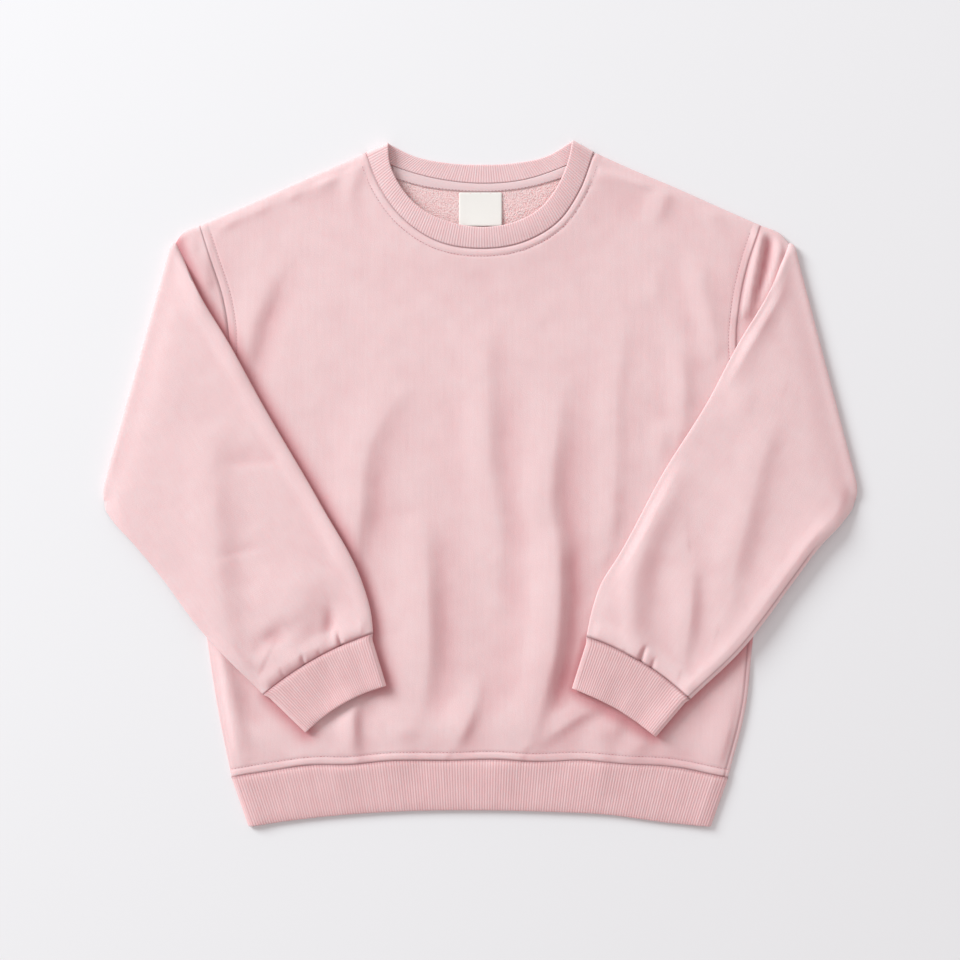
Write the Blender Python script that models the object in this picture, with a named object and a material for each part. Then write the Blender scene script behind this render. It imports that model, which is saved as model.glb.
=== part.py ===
"""A crewneck sweatshirt laid flat on its back, with both sleeves folded in over the front.

Every piece that is cut and sewn is one object with a real cloth wall. Lengths are millimetres until a
mesh is written. X runs to the right and Y from the hem to the collar, as seen from above, and Z runs up
from the surface that the garment lies on. The origin is under the middle of its outline. Left and right
are as seen from above.

The middle of each wall is worked out first and the wall is offset from it. Where the garment has an
outer edge, its front and back cloth meet in a small round roll.
"""

from dataclasses import dataclass, field

import bpy
import numpy as np

MM = 0.001

# Walls and clearances
CLOTH = 1.5  # fleece
RIB_CLOTH = 2.0  # doubled rib knit, without its ridges
SEAM_GAP = 0.3
ROLL = 2.0  # radius of the roll at an outer edge, at the middle of the wall
LAY = 3.3  # height of the middle of the front cloth where it lies on the back
EDGE_CROWN = 14.0  # how far the puffed edge reaches in before the cloth lies down
FOLD_AXIS = 6.8  # height of the line that a sleeve turns over
REST_GAP = 0.8  # from the cloth below a folded sleeve to the sleeve
COVER_EASE = 9.0  # the front's folds die out this far to each side of a folded sleeve's edge
BRIDGE = 12.0  # a sleeve spans dips this wide to each side
SETTLE = 46.0  # a folded sleeve comes down over this distance from its fold
DRAPE = 30.0  # the cloth past the edge of what it lies on reaches the floor in this distance
SLEEVE_DEPTH = 2.7  # between the middles of a sleeve's two layers, where it lies flat
CUFF_DEPTH = 2.7  # and of a cuff's
LAY_LOWEST = 2.9
FOLD_FADE = 10.0  # folds rise to their height this far in from an outer edge
FOLD_START = 20.0  # and this far past the line that a sleeve turns over
SLOPE_STEP = 1.5  # how far apart heights are compared to find a slope
ROLL_STEPS = (0.29 * ROLL, ROLL)  # columns across a roll

# Collar
COLLAR_START = 0.02  # how far from its seam to its rim the collar begins
NECK_LIFT = 1.6  # the front cloth rises to the neck seam
NECK_REACH = 26.0
RIM_RISE = 2.2  # the collar's rim over its seam at the middle of the front
PEAK_RISE = 2.0  # and this much more at the shoulders
COLLAR_SLOPES = (0.95, 0.72)  # distance in from its turned edge for each millimetre along its front and back

HEM_SLOPE = 0.985  # distance in from the band's end for each millimetre along it
HEM_FADE = 1.6  # how fast the front's folds die out down the band

# Ribs
RIB_PITCH = 3.4
BACK_RIB_PITCH = 4.25  # inside the collar's back
RIB_DEPTH = 0.9

# Body above the hem band
BLOUSE_RISE = 1.6
BLOUSE_AT = 34.0
BLOUSE_REACH = 24.0

TAPE_THICK = 1.0
LABEL_SIZE = (43.0, 34.0)
LABEL_THICK = 1.0
LABEL_CURL = 1.0  # the label's free end stands this much higher

PINK = (0.80, 0.60, 0.60)
PINK_DEEP = (0.74, 0.52, 0.53)
CREAM = (0.86, 0.83, 0.76)

# Seams and edges: (x, y) along smooth curves
HEM_SEAM = (
    (-248, -293), (-204, -285.5), (-165.5, -280.5), (-131.5, -280.5), (-89.5, -276.5), (-37.5, -276.5),
    (19.5, -275.5), (52.5, -277.5), (98, -276), (151.5, -280), (183, -281.5), (244.5, -293.5),
)
HEM_EDGE = (
    (-230.5, -342), (-194.5, -335.5), (-146.5, -329.5), (-89.5, -325.5), (0, -324), (68.5, -325.5),
    (127.5, -328.5), (187, -336.5), (226.5, -341.5),
)
FRONT_NECK = (
    (-114.5, 330.5), (-103, 299.5), (-80, 266.5), (-43, 241.5), (0, 234.3), (43, 241), (78, 262),
    (98, 291), (113, 331.5),
)
FRONT_RIM = (
    (-92, 339.5), (-90.5, 320), (-83, 301.5), (-58, 273.5), (-34, 262), (0, 255.8), (34.5, 261),
    (58, 273.5), (81, 305), (88, 324), (91.5, 342),
)
BACK_NECK = (
    (-114.5, 330.5), (-80.5, 314.5), (-36, 303), (3, 299.6), (42, 303), (83.5, 316.5), (113, 331.5),
)
BACK_RIM = ((-92, 339.5), (-66, 327), (-34.5, 320.5), (0, 318.6), (34, 320.2), (66, 327), (91.5, 342))
TAPE_EDGE = ((-88, 305), (-57.5, 296.5), (-22.5, 292.3), (20.5, 292), (49.5, 296), (88, 307))
LABEL_TOP = (0.0, 290.8)


@dataclass
class Side:
    """One side of the garment: its seams and edges, each from the collar or the body outwards or down."""

    name: str
    outward: float  # the sign of X that points away from the body
    shoulder: tuple  # neck corner to armhole
    side_seam: tuple  # hem corner to underarm
    armhole: tuple  # underarm to shoulder
    root_top: tuple  # shoulder to the fold's top end
    root_bottom: tuple  # underarm to the fold's bottom end
    inner_edge: tuple  # fold to cuff, lying on the body
    outer_edge: tuple  # fold to cuff, outside
    cuff_inner: tuple  # cuff seam to cuff edge
    cuff_outer: tuple
    seam_bulge: float  # how far the cuff's seam bows towards the sleeve
    end_bulge: float
    paths: dict = field(default_factory=dict)


SIDES = (
    Side(
        name="left",
        outward=-1.0,
        shoulder=((-114.5, 330.5), (-180.5, 302.5), (-217.5, 284.5), (-280, 257)),
        side_seam=((-248, -293), (-263.5, -214.5), (-273, -151.5), (-302.5, 18.5)),
        armhole=(
            (-302.5, 18.5), (-276, 50), (-258, 92), (-251, 138.5), (-256.5, 183.5), (-270, 226), (-280, 257),
        ),
        root_top=((-280, 257), (-295, 249.5), (-301.9, 236.7)),
        root_bottom=((-302.5, 18.5), (-340, 3), (-370.4, -12.3)),
        inner_edge=(
            (-301.9, 236.7), (-279, 185.5), (-250.5, 138.5), (-220.5, 83.5), (-160.5, -19.5),
            (-119.5, -95.5), (-109.5, -130), (-107.5, -149.5),
        ),
        outer_edge=((-370.4, -12.3), (-367.5, -35.5), (-321.5, -93.5), (-275.5, -146.5), (-216, -210)),
        cuff_inner=((-107.5, -149.5), (-94.5, -201.5)),
        cuff_outer=((-216, -210), (-173.5, -247.5)),
        seam_bulge=6.0,
        end_bulge=6.2,
    ),
    Side(
        name="right",
        outward=1.0,
        shoulder=((113, 331.5), (155.5, 312.5), (191.5, 297.5), (238.5, 276.5), (279.5, 257.5)),
        side_seam=((244.5, -293.5), (263.5, -221.5), (269, -158.5), (299.5, 18.5)),
        armhole=(
            (299.5, 18.5), (277, 50), (262, 92), (255.5, 138.5), (258, 175), (266.5, 217.5), (279.5, 257.5),
        ),
        root_top=((279.5, 257.5), (296.5, 249.5), (305.5, 234.7)),
        root_bottom=((299.5, 18.5), (337, 3.5), (373.5, -11.8)),
        inner_edge=(
            (305.5, 234.7), (290, 194.5), (256.5, 137.5), (226.5, 80.5), (184.5, 13.5), (135.5, -76.5),
            (121.5, -98.5), (112.5, -123.5), (106.1, -153),
        ),
        outer_edge=((373.5, -11.8), (370, -30), (330, -76.5), (264.5, -162.5), (208, -214.5)),
        cuff_inner=((106.1, -153), (91.8, -204.5)),
        cuff_outer=((208, -214.5), (173.5, -251.5)),
        seam_bulge=6.8,
        end_bulge=4.5,
    ),
)

# Creases: a ridge (or a trough, with a negative height) along a bent line of three points.
# Columns: x and y at the start, the middle and the end, half width, height.
BODY_FOLDS = (
    (-208, 212, -222, 168, -238, 138, 11, 4.0),  # chest, beside the left sleeve
    (-198, 200, -206, 160, -217, 120, 8, -1.4),
    (-85, 80, -117, 30, -124, -40, 14, 2.8),
    (-58, -35, -55, -120, -57, -220, 13, 3.4),
    (3, 145, 5, 30, 17, -60, 12, 2.2),
    (72, 85, 64, 0, 71, -80, 20, 4.2),  # the main fold, from the chest to the hem
    (71, -60, 74, -150, 40, -262, 19, 5.4),
    (96, 80, 90, -20, 92, -120, 10, -0.8),
    (148, 165, 140, 20, 132, -50, 9, 1.6),
    (192, 215, 200, 140, 208, 80, 12, 1.6),
    (-132, -205, -130, -240, -128, -268, 12, 2.8),
    (-30, -225, -26, -250, -27, -270, 12, 2.6),
    (104, -212, 84, -240, 58, -262, 10, 2.6),
    (160, -250, 166, -262, 172, -276, 14, 2.0),
    (-250, -165, -246, -210, -238, -262, 13, 3.0),
    (178, 294, 175, 282, 176, 266, 8, 2.6),  # right shoulder, short
    (-232, 268, -190, 284, -140, 306, 9, -1.2),  # left shoulder, dimpled
    (-222, 256, -200, 262, -180, 276, 10, 1.4),
    (264, 246, 254, 210, 250, 150, 8, 4.2),  # beside the right armhole seam
    (-262, 236, -254, 205, -243, 170, 8, 1.6),  # beside the left armhole seam
)
SLEEVE_FOLDS = {
    "left": (
        (-250, 62, -242, -36, -244, -155, 18, -1.6),
        (-214, -30, -206, -90, -196, -128, 20, 2.4),
        (-214, -148, -204, -152, -194, -156, 9, -2.2),
        (-160, -120, -154, -140, -150, -158, 7, -1.4),
        (-320, 130, -338, 80, -340, 20, 18, -1.2),
    ),
    "right": (
        (214, 6, 178, -76, 172, -158, 13, -1.8),
        (206, -60, 200, -120, 196, -166, 11, 2.6),
        (312, 56, 290, -18, 272, -92, 15, -1.8),
        (284, 52, 264, -18, 252, -80, 13, 2.2),
        (262, -104, 240, -140, 222, -176, 10, 2.0),
        (296, 218, 258, 146, 216, 62, 12, 2.4),
    ),
}


# ---- curves and distances ----


def smooth(points, count=160):
    """A fine polyline along a smooth curve through the points."""
    knots = np.asarray(points, float)
    chords = np.concatenate([[0.0], np.cumsum(np.hypot(*np.diff(knots, axis=0).T))])
    slopes = np.gradient(knots, chords, axis=0)
    at = np.linspace(0, chords[-1], count)
    span = np.clip(np.searchsorted(chords, at, side="right") - 1, 0, len(knots) - 2)
    width = (chords[span + 1] - chords[span])[:, None]
    t = (at - chords[span])[:, None] / width
    line = (
        (2 * t**3 - 3 * t**2 + 1) * knots[span]
        + (t**3 - 2 * t**2 + t) * width * slopes[span]
        + (3 * t**2 - 2 * t**3) * knots[span + 1]
        + (t**3 - t**2) * width * slopes[span + 1]
    )
    line[0], line[-1] = knots[0], knots[-1]
    return line


def along(path, shares):
    """Points on a polyline at these shares of its length."""
    lengths = np.concatenate([[0.0], np.cumsum(np.hypot(*np.diff(path, axis=0).T))])
    at = np.asarray(shares) * lengths[-1]
    return np.stack([np.interp(at, lengths, path[:, i]) for i in (0, 1)], axis=-1)


def length_of(path):
    """The length of a polyline."""
    return float(np.hypot(*np.diff(path, axis=0).T).sum())


def extended(path, reach=80.0):
    """The polyline, carried on straight past both ends."""
    first = path[0] + reach * unit(path[0] - path[1])
    last = path[-1] + reach * unit(path[-1] - path[-2])
    return np.vstack([first, path, last])


def unit(vectors):
    """The vectors, scaled to a length of 1."""
    return vectors / np.maximum(np.linalg.norm(vectors, axis=-1, keepdims=True), 1e-12)


def cross(a, b):
    """The cross product of vectors in the plane."""
    return a[..., 0] * b[..., 1] - a[..., 1] * b[..., 0]


def nearest(points, path):
    """Distance from each point to a polyline, and the unit normal on the left of its nearest stretch."""
    flat = points.reshape(-1, 1, 2)
    start, step = path[:-1], np.diff(path, axis=0)
    share = np.clip(((flat - start) * step).sum(-1) / np.maximum((step**2).sum(-1), 1e-12), 0, 1)
    gaps = np.hypot(*np.moveaxis(flat - start - share[..., None] * step, -1, 0))
    best = gaps.argmin(axis=1)
    normals = unit(np.stack([-step[:, 1], step[:, 0]], axis=-1))[best]
    return gaps.min(axis=1).reshape(points.shape[:-1]), normals.reshape(points.shape)


def inside(points, outline):
    """Whether each point is within a closed outline, by counting the edges that a ray crosses."""
    x, y = points[..., 0, None], points[..., 1, None]
    a, b = outline, np.roll(outline, -1, axis=0)
    spans = (a[:, 1] > y) != (b[:, 1] > y)
    rise = np.where(b[:, 1] == a[:, 1], 1e-9, b[:, 1] - a[:, 1])
    return (spans & (x < a[:, 0] + (y - a[:, 1]) * (b[:, 0] - a[:, 0]) / rise)).sum(-1) % 2 == 1


def ease(t):
    """0 up to t = 0, then a smooth rise to 1 at t = 1."""
    t = np.clip(t, 0, 1)
    return t * t * (3 - 2 * t)


# ---- the garment's outline and the height of its cloth ----

for side in SIDES:
    for key in ("shoulder", "side_seam", "armhole", "root_top", "root_bottom", "inner_edge", "outer_edge"):
        side.paths[key] = smooth(getattr(side, key))
LEFT, RIGHT = SIDES
HEM_PATH, HEM_EDGE_PATH = smooth(HEM_SEAM), smooth(HEM_EDGE)
NECK_PATH, BACK_NECK_PATH = smooth(FRONT_NECK), smooth(BACK_NECK)


def clockwise(*paths):
    """Joins paths into one line that runs clockwise round the garment, so its left side faces out."""
    return np.vstack(paths)


FREE_EDGES = (
    clockwise(HEM_EDGE_PATH[:1], LEFT.paths["side_seam"], LEFT.paths["root_bottom"]),
    clockwise(LEFT.paths["root_top"][::-1], LEFT.paths["shoulder"][::-1], np.array([FRONT_RIM[0]])),
    clockwise(np.array([FRONT_RIM[-1]]), RIGHT.paths["shoulder"], RIGHT.paths["root_top"]),
    clockwise(RIGHT.paths["root_bottom"][::-1], RIGHT.paths["side_seam"][::-1], HEM_EDGE_PATH[-1:]),
)
FREE_EDGES = tuple(line[np.r_[True, np.hypot(*np.diff(line, axis=0).T) > 1e-6]] for line in FREE_EDGES)
UNDERLAY = clockwise(
    HEM_EDGE_PATH[::-1],
    LEFT.paths["side_seam"],
    LEFT.paths["root_bottom"],
    LEFT.paths["root_top"][::-1],
    LEFT.paths["shoulder"][::-1],
    RIGHT.paths["shoulder"],
    RIGHT.paths["root_top"],
    RIGHT.paths["root_bottom"][::-1],
    RIGHT.paths["side_seam"][::-1],
)


def edge_distance(points):
    """Distance in from the garment's outer edge, and the direction out across it."""
    found = [nearest(points, line) for line in FREE_EDGES]
    gaps = np.stack([gap for gap, _ in found])
    best = gaps.argmin(axis=0)[None, ..., None]
    normals = np.take_along_axis(np.stack([normal for _, normal in found]), best, axis=0)[0]
    return gaps.min(axis=0), normals


def roll(distance, radius=ROLL):
    """0 at an outer edge, rising as a quarter circle to 1 where its roll ends."""
    return np.sqrt(np.maximum(0, 1 - (1 - np.clip(distance / radius, 0, 1)) ** 2))


def creases(points, table):
    """Sum of the table's ridges and troughs: a bell across each bent line, fading at its two ends."""
    total = np.zeros(points.shape[:-1])
    t = np.linspace(0, 1, 13)[:, None]
    for x0, y0, x1, y1, x2, y2, half_width, height in table:
        start, middle, end = np.array([(x0, y0), (x1, y1), (x2, y2)], float)
        handle = 2 * middle - (start + end) / 2
        line = (1 - t) ** 2 * start + 2 * t * (1 - t) * handle + t**2 * end
        gaps = np.hypot(*np.moveaxis(points[..., None, :] - line, -1, 0))
        total += height * np.exp(-((gaps.min(axis=-1) / half_width) ** 2))
    return total


def under_sleeves(points):
    """0 where the front shows, 1 under a folded sleeve, eased over its edge."""
    cover = np.zeros(points.shape[:-1])
    for side in SIDES:
        around = np.vstack([side.paths["inner_edge"], side.cuff_inner[1:], side.cuff_outer[::-1],
                            side.paths["outer_edge"][::-1]])
        gap, _ = nearest(points, around)
        inward = np.where(inside(points, around), gap, -gap)
        cover = np.maximum(cover, ease((inward + COVER_EASE) / (2 * COVER_EASE)))
    return cover


def crowned(edge, low, high):
    """`high` at an outer edge's roll, falling to `low` over the puffed strip beside it."""
    return low + (high - low) * np.exp(-((np.maximum(edge - ROLL, 0) / EDGE_CROWN) ** 2))


def front_middle(points):
    """Height of the middle of the front cloth, before its roll at the edge."""
    edge, _ = edge_distance(points)
    top = CLOTH / 2 + 2 * ROLL
    height = crowned(edge, LAY, top)
    neck, _ = nearest(points, NECK_PATH)
    height += NECK_LIFT * np.exp(-((neck / NECK_REACH) ** 2))
    above_hem = points[..., 1] - np.interp(points[..., 0], HEM_PATH[:, 0], HEM_PATH[:, 1])
    shown = (1 - 0.85 * under_sleeves(points)) * ease((edge - ROLL) / FOLD_FADE)
    height += shown * BLOUSE_RISE * np.exp(-(((above_hem - BLOUSE_AT) / BLOUSE_REACH) ** 2))
    height += shown * creases(points, BODY_FOLDS)
    return np.maximum(height, LAY_LOWEST)


def support(points):
    """Height of the surface that a folded sleeve lies on: bridged over the cloth below, then the floor."""
    turns = np.linspace(0, 2 * np.pi, 8, endpoint=False)
    offsets = BRIDGE * np.stack([np.cos(turns), np.sin(turns)], axis=-1)
    highest = front_middle(points)
    for offset in offsets:
        highest = np.maximum(highest, front_middle(points + offset))
    gap, _ = nearest(points, np.vstack([UNDERLAY, UNDERLAY[:1]]))
    past = np.where(inside(points, UNDERLAY), 0.0, np.maximum(gap - BRIDGE / 2, 0))
    return (highest + CLOTH / 2 + REST_GAP) * (1 - ease(past / DRAPE))


# ---- walls ----


def curtain(normals, seam_direction):
    """Takes out of each normal what points across a seam, so that a wall ends square to it."""
    across = unit(np.stack([-seam_direction[..., 1], seam_direction[..., 0]], axis=-1))
    flat = normals[..., :2] - (normals[..., :2] * across).sum(-1, keepdims=True) * across
    return unit(np.concatenate([flat, normals[..., 2:]], axis=-1))


def surface_normals(middle, closed):
    """Normals of a grid of points whose second direction may be a closed loop."""
    down = np.gradient(middle, axis=0)
    if closed:
        round_ = np.roll(middle, -1, axis=1) - np.roll(middle, 1, axis=1)
    else:
        round_ = np.gradient(middle, axis=1)
    return unit(np.cross(down, round_))


def grid_faces(rows, columns, closed, first=0):
    """Quads of a grid of points, numbered row by row."""
    last = columns if closed else columns - 1
    r, c = np.meshgrid(np.arange(rows - 1), np.arange(last), indexing="ij")
    n = (c + 1) % columns
    quads = np.stack([r * columns + c, r * columns + n, (r + 1) * columns + n, (r + 1) * columns + c], -1)
    return (quads.reshape(-1, 4) + first).tolist()


def border(rows, columns, first=0):
    """The numbers of an open grid's edge points, in order round it."""
    index = np.arange(rows * columns).reshape(rows, columns) + first
    return np.concatenate([index[0, :-1], index[:-1, -1], index[-1, :0:-1], index[:0:-1, 0]])


def bridge(loop_a, shares_a, loop_b, shares_b):
    """Triangles between two closed loops of points that need not have the same count."""
    faces, i, j = [], 0, 0
    shares_a, shares_b = np.append(shares_a, 1.0), np.append(shares_b, 1.0)
    while i < len(loop_a) or j < len(loop_b):
        a, b = loop_a[i % len(loop_a)], loop_b[j % len(loop_b)]
        step_a = j == len(loop_b) or (i < len(loop_a) and shares_a[i + 1] <= shares_b[j + 1])
        if step_a:
            i += 1
            faces.append((a, loop_a[i % len(loop_a)], b))
        else:
            j += 1
            faces.append((a, loop_b[j % len(loop_b)], b))
    return faces


def facing_out(vertices, faces):
    """The faces, turned over if they enclose a negative volume."""
    total = 0.0
    for face in faces:
        for k in range(1, len(face) - 1):
            a, b, c = vertices[face[0]], vertices[face[k]], vertices[face[k + 1]]
            total += np.dot(a, np.cross(b, c))
    return faces if total > 0 else [tuple(face[::-1]) for face in faces]


def make_piece(name, vertices, faces, colour):
    """One closed solid, written in metres, with its own cloth material."""
    mesh = bpy.data.meshes.new(name)
    mesh.from_pydata((vertices * MM).tolist(), [], facing_out(vertices, faces))
    mesh.shade_smooth()
    material = bpy.data.materials.new(name + "_cloth")
    material.use_nodes = True
    shader = material.node_tree.nodes["Principled BSDF"]
    shader.inputs["Base Color"].default_value = (*colour, 1.0)
    shader.inputs["Roughness"].default_value = 0.9
    shader.inputs["Metallic"].default_value = 0.0
    mesh.materials.append(material)
    piece = bpy.data.objects.new(name, mesh)
    bpy.context.collection.objects.link(piece)
    return piece


def make_panel(name, top, bottom, colour):
    """A wall between two open grids of the same size."""
    rows, columns = top.shape[:2]
    count = rows * columns
    edge_top, edge_bottom = border(rows, columns), border(rows, columns, count)
    faces = grid_faces(rows, columns, False)
    faces += [quad[::-1] for quad in grid_faces(rows, columns, False, count)]
    rim = np.stack([edge_top, edge_bottom, np.roll(edge_bottom, -1), np.roll(edge_top, -1)], axis=-1)
    faces += rim.tolist()
    return make_piece(name, np.vstack([top.reshape(-1, 3), bottom.reshape(-1, 3)]), faces, colour)


def make_tube(name, outer, inner, outer_shares, inner_shares, colour):
    """A tube's wall between an outer and an inner grid, whose columns run round it."""
    rows, outer_columns = outer.shape[:2]
    inner_columns = inner.shape[1]
    count = rows * outer_columns
    faces = grid_faces(rows, outer_columns, True)
    faces += [quad[::-1] for quad in grid_faces(rows, inner_columns, True, count)]
    for row in (0, rows - 1):
        loop_outer = row * outer_columns + np.arange(outer_columns)
        loop_inner = count + row * inner_columns + np.arange(inner_columns)
        rim = bridge(loop_outer, outer_shares, loop_inner, inner_shares)
        faces += rim if row else [face[::-1] for face in rim]
    vertices = np.vstack([outer.reshape(-1, 3), inner.reshape(-1, 3)])
    return make_piece(name, vertices, faces, colour)


# ---- how a tube is sampled round, and a panel across and up ----


def ring_columns(front_shares, back_shares):
    """How a flat tube's ring is sampled, round it from its first edge.

    Each column has a layer (1 front, -1 back, 0 at an outer edge), a kind and a value: the distance in
    from the edge at the ring's start or end, or a share of the way between the two rolls.
    """
    columns = [(0, "start", 0.0)]
    columns += [(1, "start", step) for step in ROLL_STEPS]
    columns += [(1, "middle", share) for share in front_shares]
    columns += [(1, "end", step) for step in ROLL_STEPS[::-1]]
    columns += [(0, "end", 0.0)]
    columns += [(-1, "end", step) for step in ROLL_STEPS]
    columns += [(-1, "middle", share) for share in back_shares[::-1]]
    columns += [(-1, "start", step) for step in ROLL_STEPS[::-1]]
    return columns


def evenly(count):
    """Shares of `count` columns spaced evenly between the two ends."""
    return np.linspace(0, 1, count + 2)[1:-1]


def ring_shares(columns, start_slope, end_slope):
    """Share across the ring of each column, one row for each ring, from how fast distance grows there."""
    first, last = ROLL / start_slope, 1 - ROLL / end_slope
    kinds = {
        "start": lambda value: value / start_slope,
        "end": lambda value: 1 - value / end_slope,
        "middle": lambda value: first + value * (last - first),
    }
    return np.stack([kinds[kind](value) for _, kind, value in columns], axis=-1)


def root_slopes(side):
    """How fast the distance from the sleeve's top and bottom edge grows across the ring at the armhole."""
    span = side.paths["armhole"][0] - side.paths["armhole"][-1]
    ends = (side.paths["root_top"], side.paths["root_bottom"])
    return [np.abs(cross(span, unit(line[-1] - line[0]))) for line in ends]


def armhole_shares(side, layer):
    """Shares along the armhole, from the shoulder, where the sleeve's columns of this layer meet it."""
    shares = ring_shares(SLEEVE_COLUMNS, *root_slopes(side))
    layers = np.array([column[0] for column in SLEEVE_COLUMNS])
    return np.sort(shares[(layers == layer) | (layers == 0)])


SLEEVE_COLUMNS = ring_columns(evenly(7), evenly(10))
UNDERARM = 0.545  # how far up a panel its underarm is, as a share of its rows
NECK_SPAN = (0.29, 0.71)  # where the neckline's ends are, as shares of the panel's width
EDGE_STEPS = np.array([0.0, 0.0012, 0.0038, 0.009])  # shares of the width, through the roll
FRONT_ACROSS = np.concatenate(
    [EDGE_STEPS, np.linspace(0.045, 0.17, 4), np.linspace(0.21, 0.27, 4), np.linspace(*NECK_SPAN, 25),
     np.linspace(0.73, 0.79, 4), np.linspace(0.83, 0.955, 4), 1 - EDGE_STEPS[::-1]]
)
FRONT_BELOW = np.concatenate([[0, 0.02, 0.045], np.linspace(0.08, UNDERARM, 10)])
BACK_ACROSS = np.concatenate(
    [EDGE_STEPS, np.linspace(0.08, 0.22, 3), [0.29, 0.298], np.linspace(0.3425, 0.6575, 7), [0.702, 0.71],
     np.linspace(0.78, 0.92, 3), 1 - EDGE_STEPS[::-1]]
)
BACK_BELOW = np.linspace(0, UNDERARM, 5)


# ---- front and back ----


def top_path(neck):
    """A panel's top from left to right: shoulder, neckline, shoulder."""
    return np.vstack([LEFT.paths["shoulder"][::-1], neck[1:-1], RIGHT.paths["shoulder"]])


def side_points(side, layer, below):
    """A panel's side from the hem up: rows on the side seam, then one at each column of the sleeve."""
    seam = along(side.paths["side_seam"], below[:-1] / UNDERARM)
    armhole = along(side.paths["armhole"], 1 - armhole_shares(side, layer)[::-1])
    return np.vstack([seam, armhole])


def rows_up(layer, below):
    """How far up a panel each of its rows is, from 0 at the hem to 1 at the shoulder."""
    both = [1 - armhole_shares(side, layer)[::-1] for side in SIDES]
    return np.concatenate([below[:-1], UNDERARM + (1 - UNDERARM) * (both[0] + both[1]) / 2])


def panel_top(neck, across):
    """Points along a panel's top, with the neckline's ends at fixed shares of the width."""
    path = top_path(neck)
    first = length_of(LEFT.paths["shoulder"]) / length_of(path)
    last = 1 - length_of(RIGHT.paths["shoulder"]) / length_of(path)
    return along(path, np.interp(across, (0, *NECK_SPAN, 1), (0, first, last, 1)))


def panel_grid(neck, across, layer, below):
    """A grid that follows a panel's four sides: each inner point blends the points facing it on them."""
    lower, upper = along(HEM_PATH, across), panel_top(neck, across)
    up = rows_up(layer, below)
    west, east = (side_points(side, layer, below)[:, None] for side in SIDES)
    u, v = across[None, :, None], up[:, None, None]
    below, above = (1 - u) * lower[0] + u * lower[-1], (1 - u) * upper[0] + u * upper[-1]
    corners = (1 - v) * below + v * above
    return (1 - v) * lower + v * upper + (1 - u) * west + u * east - corners, up


def panel_walls(plan, is_front, sewn_points):
    """Top and bottom grids of the front's or the back's wall over a plan grid."""
    edge, out = edge_distance(plan)
    front = front_middle(plan)
    back = CLOTH / 2
    centre, half = (front + back) / 2, (front - back) / 2 - SEAM_GAP / 2
    lift = roll(edge)
    sign = 1.0 if is_front else -1.0
    height = centre + sign * (SEAM_GAP / 2 + half * lift)
    slopes = [
        (front_middle(plan + offset) - front_middle(plan - offset)) / (2 * SLOPE_STEP)
        for offset in SLOPE_STEP * np.eye(2)
    ]
    rise = np.stack([-slopes[0], -slopes[1]], axis=-1) * lift[..., None] * is_front
    tilt = np.sqrt(np.maximum(0, 1 - lift**2))[..., None]
    normals = unit(np.concatenate([out * tilt + rise, sign * lift[..., None]], axis=-1))
    moved = plan.copy()
    for row, inward, sewn in ((0, 1, sewn_points["hem"]), (-1, -1, sewn_points["neck"])):
        seam = np.gradient(plan[row], axis=0)
        across = unit(np.stack([-seam[:, 1], seam[:, 0]], axis=-1)) * inward
        normals[row] = np.where(inner_of(sewn)[:, None], curtain(normals[row], seam), normals[row])
        moved[row] += SEAM_GAP * across * sewn[:, None]
    for column, inward in ((0, 1), (-1, -1)):
        sewn = sewn_points["armhole"]
        seam = np.gradient(plan[:, column], axis=0)
        across = unit(np.stack([seam[:, 1], -seam[:, 0]], axis=-1)) * inward
        square = curtain(normals[:, column], seam)
        normals[:, column] = np.where(inner_of(sewn)[:, None], square, normals[:, column])
        moved[:, column] += SEAM_GAP * across * sewn[:, None]
    middle = np.concatenate([moved, height[..., None]], axis=-1)
    outer, inner = middle + normals * CLOTH / 2, middle - normals * CLOTH / 2
    if is_front:
        return outer, inner
    outer[..., 2] = np.maximum(outer[..., 2], 0)
    return inner, outer


def make_front():
    """The front panel, lying on the back with its folds."""
    plan, up = panel_grid(NECK_PATH, FRONT_ACROSS, 1, FRONT_BELOW)
    make_panel("front_panel", *panel_walls(plan, True, seams(FRONT_ACROSS, up)), PINK)


def make_back():
    """The back panel, flat on the surface."""
    plan, up = panel_grid(BACK_NECK_PATH, BACK_ACROSS, -1, BACK_BELOW)
    make_panel("back_panel", *panel_walls(plan, False, seams(BACK_ACROSS, up)), PINK_DEEP)


def inner_of(sewn):
    """The sewn points without the two at the ends of the seam, which are on the outer edge as well."""
    return sewn & np.roll(sewn, 1) & np.roll(sewn, -1)


def seams(across, up):
    """Which points of a panel's sides lie on a seam with another node, rather than on the outer edge."""
    return {
        "hem": np.ones(len(across), bool),
        "neck": (across > NECK_SPAN[0] - 1e-6) & (across < NECK_SPAN[1] + 1e-6),
        "armhole": up > UNDERARM - 1e-6,
    }


# ---- sleeves and cuffs ----


def resting(plan, layer, edge, thickness, depth, folds):
    """Height of a folded tube's middle: its front layer lies on what is below, and its back layer on top."""
    under = support(plan) + thickness / 2
    spread = crowned(edge, depth, 2 * ROLL) + folds * ease((edge - ROLL) / FOLD_FADE)
    spread = np.maximum(spread, thickness + SEAM_GAP)
    return under + spread / 2 * (1 - layer * roll(edge))


def tube_walls(middle, plan_direction, thickness, relief):
    """Outer and inner grids of a closed tube, square to its seams at both ends."""
    normals = surface_normals(middle, True)
    for row in (0, -1):
        normals[row] = curtain(normals[row], plan_direction[row])
    sign = outward_sign(middle, normals)
    outer = middle + sign * normals * (thickness / 2 + relief[..., None])
    inner = middle - sign * normals * thickness / 2
    outer[..., 2] = np.maximum(outer[..., 2], 0)
    return outer, inner


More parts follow.
